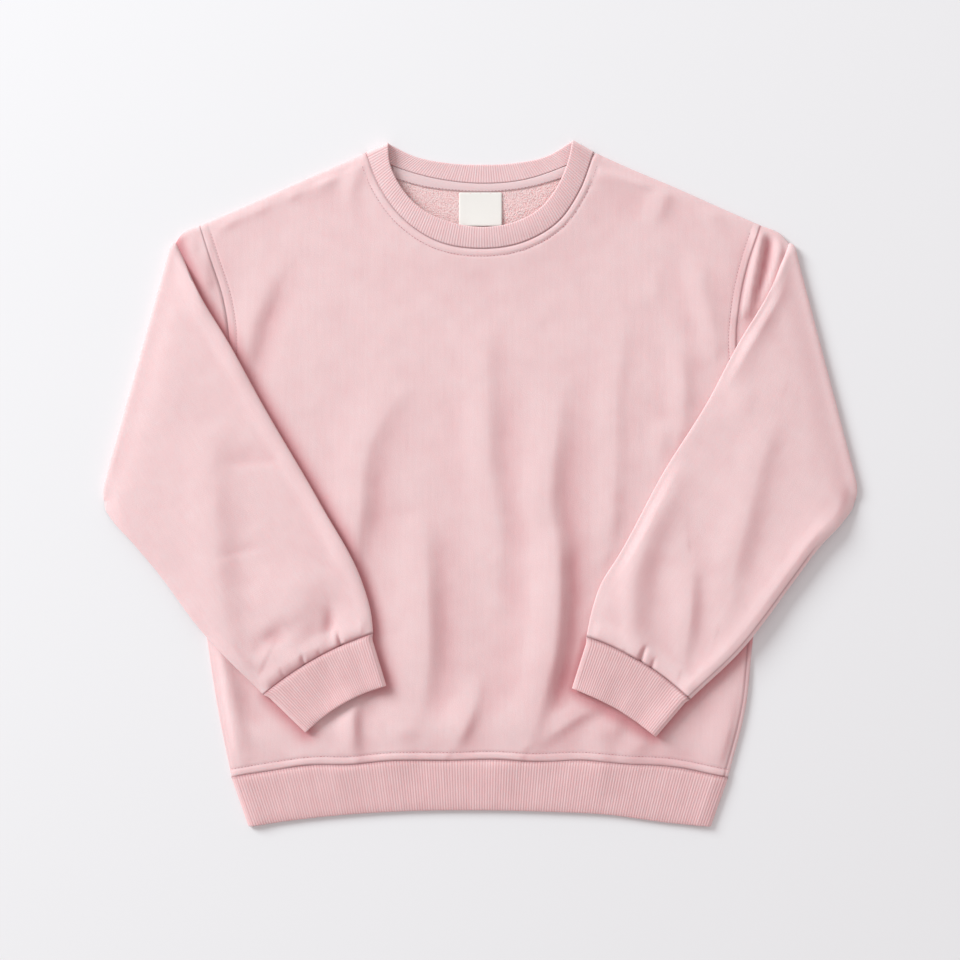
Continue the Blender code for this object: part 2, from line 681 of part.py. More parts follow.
def round_direction(plan, layer):
    """The direction in plan of each ring at each column, midway between its layers' at an outer edge."""
    direction = np.gradient(plan, axis=1)
    for edge in np.flatnonzero(layer == 0):
        near = [plan[:, edge + step] - plan[:, edge] for step in (-2, 2)]
        direction[:, edge] = unit(near[0]) + unit(near[1])
    return direction


def outward_sign(middle, normals):
    """1 if a tube's normals point out of it, otherwise -1."""
    centre = middle.mean(axis=1, keepdims=True)
    return 1.0 if ((middle - centre) * normals).sum() > 0 else -1.0


def make_sleeve(side, root=4, wrap=6, folded=10):
    """A flat tube from the armhole out, turned over a slanting fold line and back over the body.

    Each ring crosses the sleeve from its top edge to its bottom edge. Past the fold line the rings
    bend round an axis at FOLD_AXIS through half a turn, and then settle on the cloth below.
    """
    columns = SLEEVE_COLUMNS
    layer = np.array([column[0] for column in columns], float)
    count = root + wrap + folded + 1
    k = np.arange(count)
    phase_root, phase_fold = np.clip(k / root, 0, 1), np.clip((k - root - wrap) / folded, 0, 1)
    angle = np.pi * np.clip((k - root) / wrap, 0, 1)
    is_root, is_folded = (k <= root)[:, None], (k > root + wrap)[:, None]
    root_lines = side.paths["root_top"], side.paths["root_bottom"]
    fold_lines = side.paths["inner_edge"], side.paths["outer_edge"]
    top, bottom = (
        np.where(is_root, along(near, phase_root), along(far, phase_fold))
        for near, far in zip(root_lines, fold_lines)
    )
    span = bottom - top
    slopes = [
        np.abs(cross(span, unit(np.where(is_root, line[-1] - line[0], tangents(points, root + wrap)))))
        for line, points in zip(root_lines, (top, bottom))
    ]
    shares = ring_shares(columns, *slopes)

    armhole = side.paths["armhole"][::-1]
    curve = along(armhole, shares) - (armhole[0] + shares[..., None] * (armhole[-1] - armhole[0]))
    plan = top[:, None] + shares[..., None] * span[:, None]
    plan += (1 - phase_root)[:, None, None] * curve
    plan += bowed(shares, span, side.seam_bulge * phase_fold**2, fold_lines[0][0] - fold_lines[0][-1])
    edge_root, edge_fold = (
        np.minimum(*[nearest(plan, extended(line))[0] for line in lines])
        for lines in (root_lines, fold_lines)
    )
    edge = np.where(is_root, edge_root, edge_fold) * (layer != 0)

    fold_line = unit(bottom[root] - top[root])
    out = np.array([-fold_line[1], fold_line[0]])
    out *= np.sign(out[0] * side.outward)
    past = np.maximum(0, -((plan - top[root]) * out).sum(-1)) * is_folded

    front, back = front_middle(plan), CLOTH / 2
    flat = (front + back) / 2 + layer * (front - back) / 2 * roll(edge)
    radius = FOLD_AXIS - flat
    bent = FOLD_AXIS - radius * np.cos(angle)[:, None]
    bent = np.where(is_root, flat, bent)
    folds = creases(plan, SLEEVE_FOLDS[side.name]) * ease(past / FOLD_START)
    rest = resting(plan, layer, edge, CLOTH, SLEEVE_DEPTH, folds)
    share = ease(past / SETTLE) * is_folded
    height = (1 - share) * bent + share * rest
    shifted = plan + (radius * np.sin(angle)[:, None])[..., None] * out
    middle = np.concatenate([shifted, height[..., None]], axis=-1)
    outer, inner = tube_walls(middle, round_direction(plan, layer), CLOTH, np.zeros(middle.shape[:2]))
    at = np.arange(len(columns)) / len(columns)
    make_tube("sleeve_" + side.name, outer, inner, at, at, PINK)


def bowed(shares, span, bulge, towards):
    """How far each point of some rings is moved in plan for them to bow out by `bulge` at the middle."""
    across = unit(np.stack([-span[:, 1], span[:, 0]], axis=-1))
    across *= np.sign((across * towards).sum(-1, keepdims=True))
    return (bulge[:, None] * 4 * shares * (1 - shares))[..., None] * across[:, None]


def tangents(points, start):
    """Directions along a row of points from `start` on; the ones before it take the first."""
    found = np.empty_like(points)
    found[start:] = np.gradient(points[start:], axis=0)
    found[:start] = found[start]
    return found


def rib_shares(count):
    """Shares of the way across for `count` ribs: a ridge and a groove for each."""
    return (np.arange(2 * count) + 0.5) / (2 * count)


def make_cuff(side, rows=3):
    """A ribbed flat tube that carries on from the sleeve's end."""
    top = along(np.array(side.cuff_inner, float), np.linspace(0, 1, rows))
    bottom = along(np.array(side.cuff_outer, float), np.linspace(0, 1, rows))
    span = bottom - top
    ribs = int(round(np.linalg.norm(span[0]) / RIB_PITCH))
    run = unit(top[-1] - top[0] + bottom[-1] - bottom[0])
    bulge = np.linspace(side.seam_bulge, side.end_bulge, rows)

    def grids(columns):
        """The middle of the wall at these columns, and the rings' direction in plan."""
        layer = np.array([column[0] for column in columns], float)
        slopes = [np.abs(cross(span, unit(line[-1] - line[0]))) for line in (top, bottom)]
        shares = ring_shares(columns, *slopes)
        plan = top[:, None] + shares[..., None] * span[:, None] + bowed(shares, span, bulge, -run)
        plan[0] += SEAM_GAP * run
        edge = np.minimum(*[nearest(plan, extended(line))[0] for line in (top, bottom)]) * (layer != 0)
        height = resting(plan, layer, edge, RIB_CLOTH, CUFF_DEPTH, np.zeros(edge.shape))
        return np.concatenate([plan, height[..., None]], axis=-1), round_direction(plan, layer)

    make_ribbed_tube("cuff_" + side.name, grids, ribs, evenly(7), evenly(7), -1)


def make_ribbed_tube(name, grids, ribs, plain_front, plain_back, ribbed_layer):
    """A tube with ribs raised on one layer's outer side and a plain, coarser inside."""
    fine = rib_shares(ribs)
    outer_columns = ring_columns(*((fine, plain_back) if ribbed_layer > 0 else (plain_front, fine)))
    inner_columns = ring_columns(plain_front, plain_back)
    middle, direction = grids(outer_columns)
    on_ribs = np.array([kind == "middle" and layer == ribbed_layer for layer, kind, _ in outer_columns])
    zigzag = np.zeros(len(outer_columns))
    zigzag[on_ribs] = np.tile([1.0, 0.0], ribs)
    relief = RIB_DEPTH * zigzag[None, :] * np.ones((middle.shape[0], 1))
    outer, _ = tube_walls(middle, direction, RIB_CLOTH, relief)
    inner_middle, inner_direction = grids(inner_columns)
    _, inner = tube_walls(inner_middle, inner_direction, RIB_CLOTH, np.zeros(inner_middle.shape[:2]))
    make_tube(name, outer, inner, place_round(outer_columns), place_round(inner_columns), PINK_DEEP)


def place_round(columns):
    """How far round the ring each column is, from 0 to 1, by its layer and its share."""
    small = 0.01
    places = []
    for layer, kind, value in columns:
        share = {"start": value * small, "end": 1 - value * small, "middle": 0.05 + 0.9 * value}[kind]
        places.append(0.5 * share if layer > 0 or (layer == 0 and kind == "end") else 1 - 0.5 * share)
    places[0] = 0.0
    return np.array(places)


# ---- hem band ----


def make_hem(rows=3):
    """A ribbed flat tube below the body. Its upper layer follows the front's folds down and flattens."""
    drop = np.linspace(0, 1, rows)
    ribs = int(round(length_of(HEM_PATH) / RIB_PITCH))
    seam_lines = {1: along(HEM_PATH, FRONT_ACROSS), -1: along(HEM_PATH, BACK_ACROSS)}
    roll_share = ROLL / (HEM_SLOPE * length_of(HEM_PATH))
    plain = [
        (across[4:-4] - roll_share) / (1 - 2 * roll_share) for across in (FRONT_ACROSS[::2], BACK_ACROSS)
    ]

    def grids(columns):
        """The middle of the wall at these columns, and the rings' direction in plan."""
        layer = np.array([column[0] for column in columns], float)
        width = HEM_SLOPE * (length_of(HEM_PATH) * (1 - drop) + length_of(HEM_EDGE_PATH) * drop)
        shares = ring_shares(columns, width, width)
        upper = np.where((layer < 0)[:, None], *(along_same(seam_lines[key], shares[0]) for key in (-1, 1)))
        lower = along(HEM_EDGE_PATH, shares[-1])
        plan = (1 - drop)[:, None, None] * upper + drop[:, None, None] * lower
        edge = edge_distance(plan)[0] * (layer != 0)
        folds = front_middle(upper)[None] - front_flat(upper)[None]
        low, high = RIB_CLOTH * 1.5 + SEAM_GAP, RIB_CLOTH / 2 + 2 * ROLL
        crest = crowned(edge, low, high) + folds * ((1 - drop) ** HEM_FADE)[:, None]
        back = RIB_CLOTH / 2
        height = (crest + back) / 2 + layer * (crest - back) / 2 * roll(edge)
        return np.concatenate([plan, height[..., None]], axis=-1), round_direction(plan, layer)

    make_ribbed_tube("hem_rib", grids, ribs, *plain, 1)


def along_same(line, shares):
    """Points on a coarse line through some points of the hem seam, at shares of the seam's own length."""
    fine = np.linspace(0, 1, len(HEM_PATH))
    whole = along(HEM_PATH, fine)
    at_x = np.interp(shares, fine, whole[:, 0])
    return np.stack([at_x, np.interp(at_x, line[:, 0], line[:, 1])], axis=-1)


def front_flat(points):
    """Height of the front's middle from its edge puff alone."""
    return crowned(edge_distance(points)[0], LAY, CLOTH / 2 + 2 * ROLL)


# ---- collar, tape and label ----


def make_collar(rows=3):
    """A ribbed ring: its front half over its back half, turned over at the two shoulders.

    The ring's front half shows its outside and its back half its inside, so the ribs are raised on the
    outer points in front and on the inner points behind.
    """
    rise = np.linspace(COLLAR_START, 1, rows)
    front_ribs = int(round(length_of(NECK_PATH) / RIB_PITCH))
    back_ribs = int(round(length_of(BACK_NECK_PATH) / BACK_RIB_PITCH))
    rims = smooth(FRONT_RIM), smooth(BACK_RIM)
    necks = NECK_PATH, BACK_NECK_PATH
    seam_lines = neck_line(NECK_PATH, FRONT_ACROSS), neck_line(BACK_NECK_PATH, BACK_ACROSS)
    peaks = [np.array([FRONT_NECK[end], FRONT_RIM[end]], float) for end in (0, -1)]

    def grids(columns):
        """The middle of the wall at these columns, and the rings' direction in plan."""
        layer = np.array([column[0] for column in columns], float)
        slopes = [
            slope * ((1 - rise) * length_of(neck) + rise * length_of(rim))
            for slope, neck, rim in zip(COLLAR_SLOPES, necks, rims)
        ]
        shares = np.where(layer >= 0, *(ring_shares(columns, slope, slope) for slope in slopes))
        share_up = rise[:, None, None]
        plan = np.where(
            (layer >= 0)[None, :, None],
            *((1 - share_up) * along(seam, shares) + share_up * along(rim, shares)
              for seam, rim in zip(seam_lines, rims)),
        )
        edge = np.minimum(*[nearest(plan, extended(line))[0] for line in peaks]) * (layer != 0)
        seam_height = front_middle(along(NECK_PATH, shares[0]))[None] + (RIB_CLOTH - CLOTH) / 2
        to_peak = np.abs(2 * shares - 1) ** 3
        crest = seam_height + rise[:, None] * (RIM_RISE + PEAK_RISE * to_peak)
        base = RIB_CLOTH / 2
        centre, half = (crest + base) / 2, (crest - base) / 2
        height = centre + layer * half * roll(edge, ROLL * (1 + rise[:, None]))
        return np.concatenate([plan, height[..., None]], axis=-1), round_direction(plan, layer)

    plain = [panel_stations(*line) for line in zip(necks, (FRONT_ACROSS, BACK_ACROSS), COLLAR_SLOPES)]
    make_two_faced_ribs("neck_rib", grids, front_ribs, back_ribs, *plain)


def panel_stations(neck, across, slope):
    """Shares between the collar's two rolls of a panel's points along the neckline."""
    points = neck_line(neck, across)
    lengths = np.concatenate([[0], np.cumsum(np.hypot(*np.diff(points, axis=0).T))])
    roll_share = ROLL / (slope * length_of(neck))
    shares = (lengths[1:-1] / lengths[-1] - roll_share) / (1 - 2 * roll_share)
    return shares[(shares > 0) & (shares < 1)]


def neck_line(neck, across):
    """The neckline through the points that a panel has on it, so that the collar meets it all along."""
    on_neck = (across > NECK_SPAN[0] - 1e-6) & (across < NECK_SPAN[1] + 1e-6)
    return panel_top(neck, across)[on_neck]


def make_two_faced_ribs(name, grids, front_ribs, back_ribs, plain_front, plain_back):
    """A ring with ribs on the outside of its front layer and on the inside of its back layer."""
    outer_columns = ring_columns(rib_shares(front_ribs), plain_back)
    inner_columns = ring_columns(plain_front, rib_shares(back_ribs))
    walls = []
    for columns, ribbed_layer, ribs, want_outer in (
        (outer_columns, 1, front_ribs, True),
        (inner_columns, -1, back_ribs, False),
    ):
        middle, direction = grids(columns)
        on_ribs = np.array([kind == "middle" and layer == ribbed_layer for layer, kind, _ in columns])
        zigzag = np.zeros(len(columns))
        zigzag[on_ribs] = np.tile([1.0, 0.0], ribs)
        normals = surface_normals(middle, True)
        for row in (0, -1):
            normals[row] = curtain(normals[row], direction[row])
        sign = 1.0 if (normals[..., 2] * np.array([column[0] for column in columns])).sum() > 0 else -1.0
        reach = RIB_CLOTH / 2 + RIB_DEPTH * zigzag
        grid = middle + sign * (1 if want_outer else -1) * normals * reach[None, :, None]
        grid[..., 2] = np.maximum(grid[..., 2], 0)
        walls.append(grid)
    make_tube(name, *walls, place_round(outer_columns), place_round(inner_columns), PINK_DEEP)


def make_tape(columns=23):
    """A flat tape over the back neck seam, lying on the inside of the back panel."""
    shares = np.linspace(0, 1, columns)
    lower = along(smooth(TAPE_EDGE), shares)
    seam = BACK_NECK_PATH
    upper = np.stack([lower[:, 0], np.interp(lower[:, 0], seam[:, 0], seam[:, 1]) - 2 * SEAM_GAP], axis=-1)
    plan = np.stack([lower, upper])
    base = CLOTH + SEAM_GAP
    bottom = np.concatenate([plan, np.full(plan.shape[:2] + (1,), base)], axis=-1)
    make_panel("neck_tape", bottom + [0, 0, TAPE_THICK], bottom, PINK)


def make_label(rows=4, columns=3):
    """A blank label sewn on at its top end, whose free end curls up a little."""
    x = np.linspace(-LABEL_SIZE[0] / 2, LABEL_SIZE[0] / 2, columns) + LABEL_TOP[0]
    down = np.linspace(0, 1, rows)
    grid = np.empty((rows, columns, 3))
    grid[..., 0] = x
    grid[..., 1] = (LABEL_TOP[1] - LABEL_SIZE[1] * down)[:, None]
    grid[..., 2] = (CLOTH + SEAM_GAP + LABEL_CURL * down**2)[:, None]
    make_panel("label", grid + [0, 0, LABEL_THICK], grid, CREAM)


def main():
    """Clears the scene and makes every piece."""
    for old in list(bpy.data.objects):
        bpy.data.objects.remove(old, do_unlink=True)
    make_back()
    make_front()
    for side in SIDES:
        make_sleeve(side)
        make_cuff(side)
    make_hem()
    make_collar()
    make_tape()
    make_label()


main()
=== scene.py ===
"""A pale pink crewneck sweatshirt laid flat with both sleeves folded in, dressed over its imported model.

Lengths are millimetres until a mesh is written. X runs right and Y from the hem to the collar, as seen
from above, and Z runs up from the surface. Each cut-and-sewn piece is a closed shell between two numpy
grids: the middle of its wall is worked out as a height over a plan grid and offset by half the wall.
"""

import logging
from dataclasses import dataclass, field, replace
from enum import Enum

import bpy
import numpy as np
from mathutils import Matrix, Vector


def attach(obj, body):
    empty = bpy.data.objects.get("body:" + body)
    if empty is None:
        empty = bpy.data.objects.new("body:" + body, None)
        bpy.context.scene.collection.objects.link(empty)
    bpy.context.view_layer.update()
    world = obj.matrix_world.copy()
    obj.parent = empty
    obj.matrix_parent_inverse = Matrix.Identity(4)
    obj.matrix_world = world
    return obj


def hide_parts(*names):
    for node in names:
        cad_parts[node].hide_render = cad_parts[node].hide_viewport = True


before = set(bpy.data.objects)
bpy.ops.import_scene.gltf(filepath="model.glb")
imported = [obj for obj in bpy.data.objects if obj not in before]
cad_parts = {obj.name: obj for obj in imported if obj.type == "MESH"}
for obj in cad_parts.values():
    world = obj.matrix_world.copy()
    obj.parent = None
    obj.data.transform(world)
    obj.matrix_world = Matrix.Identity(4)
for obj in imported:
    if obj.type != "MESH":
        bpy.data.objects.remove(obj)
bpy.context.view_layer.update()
LOG = logging.getLogger("sweatshirt")
MM = 0.001
TINY = 1e-12  # what a length of nothing is taken for where it is divided by
TOUCH = 1e-6  # places and shares closer than this are the same

Points = np.ndarray
Knots = tuple[tuple[float, float], ...]
Colour = tuple[float, float, float, float]
Tree = bpy.types.NodeTree
Socket = bpy.types.NodeSocket


# ---- curves and distances in plan ----


def smooth(knots: Knots, count: int = 80) -> Points:
    """A fine polyline along a Hermite curve whose slope at each knot is the mean of its chords.

    Args:
        knots: The points that the curve passes through, each a place in plan and any values there.
        count: How many points the polyline has.

    Returns:
        An array of `count` points.
    """
    at_knots = np.asarray(knots, float)
    chords = np.concatenate([[0.0], np.cumsum(np.hypot(*np.diff(at_knots[:, :2], axis=0).T))])
    slopes = np.gradient(at_knots, chords, axis=0)
    at = np.linspace(0, chords[-1], count)
    span = np.clip(np.searchsorted(chords, at, side="right") - 1, 0, len(at_knots) - 2)
    width = (chords[span + 1] - chords[span])[:, None]
    t = (at - chords[span])[:, None] / width
    line = (
        (2 * t**3 - 3 * t**2 + 1) * at_knots[span]
        + (t**3 - 2 * t**2 + t) * width * slopes[span]
        + (3 * t**2 - 2 * t**3) * at_knots[span + 1]
        + (t**3 - t**2) * width * slopes[span + 1]
    )
    line[0], line[-1] = at_knots[0], at_knots[-1]
    return line


def along(path: Points, shares: np.ndarray) -> Points:
    """Points on a polyline at these shares of its length."""
    lengths = np.concatenate([[0.0], np.cumsum(np.hypot(*np.diff(path, axis=0).T))])
    at = np.asarray(shares) * lengths[-1]
    return np.stack([np.interp(at, lengths, path[:, i]) for i in (0, 1)], axis=-1)


def length_of(path: Points) -> float:
    """The length of a polyline."""
    return float(np.hypot(*np.diff(path, axis=0).T).sum())


def unit(vectors: np.ndarray) -> np.ndarray:
    """The vectors, scaled to a length of 1."""
    return vectors / np.maximum(np.linalg.norm(vectors, axis=-1, keepdims=True), TINY)


def cross(a: np.ndarray, b: np.ndarray) -> np.ndarray:
    """The cross product of vectors in the plane."""
    return a[..., 0] * b[..., 1] - a[..., 1] * b[..., 0]


def ease(t: np.ndarray) -> np.ndarray:
    """0 up to t = 0, then a smooth rise to 1 at t = 1."""
    t = np.clip(t, 0, 1)
    return t * t * (3 - 2 * t)


def bell(distance: np.ndarray, width: float) -> np.ndarray:
    """1 at no distance, falling to 1/e at `width`."""
    return np.exp(-((distance / width) ** 2))


def extended(path: Points, reach: float = 80.0) -> Points:
    """The polyline, carried on straight past both ends."""
    first = path[0] + reach * unit(path[0] - path[1])
    last = path[-1] + reach * unit(path[-1] - path[-2])
    return np.vstack([first, path, last])


def nearest(points: Points, path: Points, chunk: int = 8000) -> tuple[np.ndarray, Points]:
    """Distance from each point to a polyline, by the closest point of each of its straight stretches.

    Args:
        points: Points of any grid shape.
        path: The polyline.
        chunk: How many points are worked out together, which limits the memory used.

    Returns:
        The distances, and the unit normals on the left of the nearest stretches.
    """
    flat = points.reshape(-1, 1, 2)
    start, step = path[:-1], np.diff(path, axis=0)
    squared = np.maximum((step**2).sum(-1), TINY)
    left = unit(np.stack([-step[:, 1], step[:, 0]], axis=-1))
    gaps, normals = [], []
    for first in range(0, len(flat), chunk):
        offset = flat[first : first + chunk] - start
        share = np.clip((offset * step).sum(-1) / squared, 0, 1)
        away = ((offset - share[..., None] * step) ** 2).sum(-1)
        gaps.append(np.sqrt(away.min(axis=1)))
        normals.append(left[away.argmin(axis=1)])
    shape = points.shape[:-1]
    return np.concatenate(gaps).reshape(shape), np.concatenate(normals).reshape(points.shape)


def inside(points: Points, outline: Points) -> np.ndarray:
    """Whether each point is within a closed outline, by counting the edges that a ray crosses."""
    x, y = points[..., 0], points[..., 1]
    crossings = np.zeros(points.shape[:-1], int)
    for a, b in zip(outline, np.roll(outline, -1, axis=0)):
        if a[1] != b[1]:
            spans = (a[1] > y) != (b[1] > y)
            crossings += spans & (x < a[0] + (y - a[1]) * (b[0] - a[0]) / (b[1] - a[1]))
    return crossings % 2 == 1


def evenly(count: int) -> np.ndarray:
    """Shares of `count` places spaced evenly between two ends."""
    return np.linspace(0, 1, count + 2)[1:-1]


def wander(points: Points, cell: float, seed: int, count: int = 257) -> np.ndarray:
    """Smooth random values from -1 to 1 over plan points: a seeded lattice, eased between its corners."""
    lattice = np.random.default_rng(seed).uniform(-1, 1, (count, count))
    place = points / cell + count // 2
    low = np.clip(np.floor(place).astype(int), 0, count - 2)
    t = ease(place - low)
    corner = [lattice[low[..., 0] + i, low[..., 1] + j] for i, j in ((0, 0), (1, 0), (0, 1), (1, 1))]
    lower = corner[0] + t[..., 0] * (corner[1] - corner[0])
    upper = corner[2] + t[..., 0] * (corner[3] - corner[2])
    return lower + t[..., 1] * (upper - lower)


# ---- sizes of the cloth and its lie ----


@dataclass(frozen=True)
class Lie:
    """Walls, rolls and the room between layers."""

    wall: float = 1.5
    rib_wall: float = 2.0
    seam_gap: float = 0.3
    butt_gap: float = 0.04
    roll: float = 2.0
    lay: float = 4.6
    lowest: float = 2.9
    crown_reach: float = 14.0
    fold_fade: float = 10.0

    def rolled(self, distance: np.ndarray, radius: float | np.ndarray | None = None) -> np.ndarray:
        """0 at an outer edge, rising as a quarter circle to 1 where its roll ends."""
        size = self.roll if radius is None else radius
        return np.sqrt(np.maximum(0, 1 - (1 - np.clip(distance / size, 0, 1)) ** 2))

    def reach(self, upper: np.ndarray | bool, wide: float = 5.5) -> np.ndarray:
        """How far in an edge's roll goes: wide and soft on the upper layer, tight on the lower."""
        return np.where(upper, wide, self.roll)

    def crowned(self, edge: np.ndarray, low: float, high: float | np.ndarray) -> np.ndarray:
        """`high` at an outer edge's roll, falling to `low` over the puffed strip beside it."""
        return low + (high - low) * bell(np.maximum(edge - self.roll, 0), self.crown_reach)


LIE = Lie()


@dataclass(frozen=True)
class SewnBand:
    """The relief beside a topstitched seam: a ditch at the seam, a raised band and a stitched groove."""

    stitch_at: float = 8.0
    ditch: float = 0.55
    ridge: float = 0.6
    groove: float = 0.5
    ditch_width: float = 1.2
    groove_width: float = 1.1
    rise_over: float = 2.2
    fall_over: float = 3.2
    ditch_shade: float = 1.5
    ditch_shade_width: float = 0.9
    groove_shade: float = 0.35
    groove_shade_width: float = 0.8

    def scaled(self, share: float, ditch_share: float) -> "SewnBand":
        """The same band, with its ridge and groove and its ditch this much as deep."""
        ridge, groove = self.ridge * share, self.groove * share
        return replace(self, ditch=self.ditch * ditch_share, ridge=ridge, groove=groove)

    def relief(self, gap: np.ndarray) -> np.ndarray:
        """Height at a distance from the seam: two bells cut into a low, eased plateau between them."""
        fall_from = self.stitch_at - self.fall_over
        plateau = ease(gap / self.rise_over) - ease((gap - fall_from) / self.fall_over)
        cuts = self.ditch * bell(gap, self.ditch_width)
        cuts = cuts + self.groove * bell(gap - self.stitch_at, self.groove_width)
        return self.ridge * plateau - cuts

    def mark(self, gap: np.ndarray) -> np.ndarray:
        """How strongly painted shade darkens the seam's ditch and the stitched groove, from 0 to 1."""
        at_seam = self.ditch_shade * self.ditch * bell(gap, self.ditch_shade_width)
        at_stitches = bell(gap - self.stitch_at, self.groove_shade_width)
        return np.clip(at_seam + self.groove_shade * self.groove * at_stitches, 0, 1)


# ---- the garment's plan ----


@dataclass(eq=False)
class Side:
    """One side of the garment: its seams and edges, each from the collar or the body outwards or down.

    Fields: the knots of each line, then how far the sleeve's and the cuff's ends bow out, how thick the
    folded sleeve is beside its inner and outer edge, where the side seam's ditch lies and how deep it is,
    how deep the sleeve's long seam is, and how strong the armhole's band and its ditch are.
    """

    name: str
    outward: float
    shoulder: Knots
    side_seam: Knots
    armhole: Knots
    root_top: Knots
    root_bottom: Knots
    inner_edge: Knots
    outer_edge: Knots
    cuff_inner: Knots
    cuff_outer: Knots
    seam_bulge: float
    end_bulge: float
    edge_heights: tuple[float, float]
    seam_inset: float
    seam_depth: float
    long_seam: float
    band_shares: tuple[float, float]
    lines: dict[str, Points] = field(default_factory=dict)

    CURVES = ("shoulder", "side_seam", "armhole", "root_top", "root_bottom", "inner_edge", "outer_edge")
    CORNERED = ("cuff_inner", "cuff_outer")

    def __post_init__(self) -> None:
        """Works out the line of each seam and edge: smooth ones, and the cuff's with a corner."""
        self.lines.update({key: smooth(getattr(self, key)) for key in self.CURVES})
        self.lines.update({key: np.array(getattr(self, key), float) for key in self.CORNERED})

    def edge_depths(self, shares: np.ndarray) -> np.ndarray:
        """How thick the folded sleeve is beside its edges, from the inner to the outer one."""
        inner, outer = self.edge_heights
        return inner + (outer - inner) * ease(shares)


LEFT = Side(
    name="left",
    outward=-1.0,
    shoulder=((-114.5, 329.5), (-146, 315.5), (-180.5, 300.8), (-217.5, 284), (-280, 257)),
    side_seam=((-248, -293), (-263.5, -214.5), (-273, -151.5), (-302.5, 18.5)),
    armhole=(
        (-302.5, 18.5), (-276, 50), (-258, 92), (-251, 138.5), (-256.5, 183.5), (-270, 226), (-280, 257),
    ),
    root_top=((-280, 257), (-297, 249.5), (-304, 239.5)),
    root_bottom=((-302.5, 18.5), (-341, 0.5), (-375, -18)),
    inner_edge=(
        (-304, 239.5), (-279, 185.5), (-250.5, 138.5), (-220.5, 83.5), (-160.5, -19.5),
        (-119.5, -95.5), (-109.5, -130), (-107.5, -149.5),
    ),
    outer_edge=(
        (-375, -18), (-374, -26), (-367, -36.5), (-349, -56), (-323, -86.5), (-281, -142.5), (-216, -210),
    ),
    cuff_inner=((-107.5, -149.5), (-109, -154), (-94.5, -201.5)),
    cuff_outer=((-216, -210), (-210.5, -212), (-173.5, -247.5)),
    seam_bulge=6.0,
    end_bulge=6.2,
    edge_heights=(6.6, 3.4),
    seam_inset=1.2,
    seam_depth=0.15,
    long_seam=0.0,
    band_shares=(0.7, 0.25),
)
RIGHT = Side(
    name="right",
    outward=1.0,
    shoulder=((113, 330), (155.5, 311), (191.5, 296), (238.5, 275), (279.5, 257)),
    side_seam=((246.5, -293.5), (264.5, -221.5), (271, -158.5), (299.5, 18.5)),
    armhole=(
        (299.5, 18.5), (277, 50), (262, 92), (255.5, 138.5), (258, 175), (266.5, 217.5), (279.5, 257),
    ),
    root_top=((279.5, 257), (298.5, 249), (308, 239)),
    root_bottom=((299.5, 18.5), (338, 1.5), (374, -16)),
    inner_edge=(
        (308, 239), (290, 194.5), (256.5, 137.5), (226.5, 80.5), (184.5, 13.5), (135.5, -76.5),
        (121.5, -98.5), (112.5, -123.5), (106.1, -153),
    ),
    outer_edge=(
        (374, -16), (371, -24.5), (362.5, -36), (338.5, -61.5), (312.5, -96), (283, -136), (264.5, -159.5),
        (208, -214.5),
    ),
    cuff_inner=((106.1, -153), (106.6, -158), (91.8, -204.5)),
    cuff_outer=((208, -214.5), (203.5, -216.5), (173.5, -251.5)),
    seam_bulge=6.8,
    end_bulge=4.5,
    edge_heights=(2.6, 8.5),
    seam_inset=4.0,
    seam_depth=0.6,
    long_seam=0.9,
    band_shares=(0.5, 1.2),
)


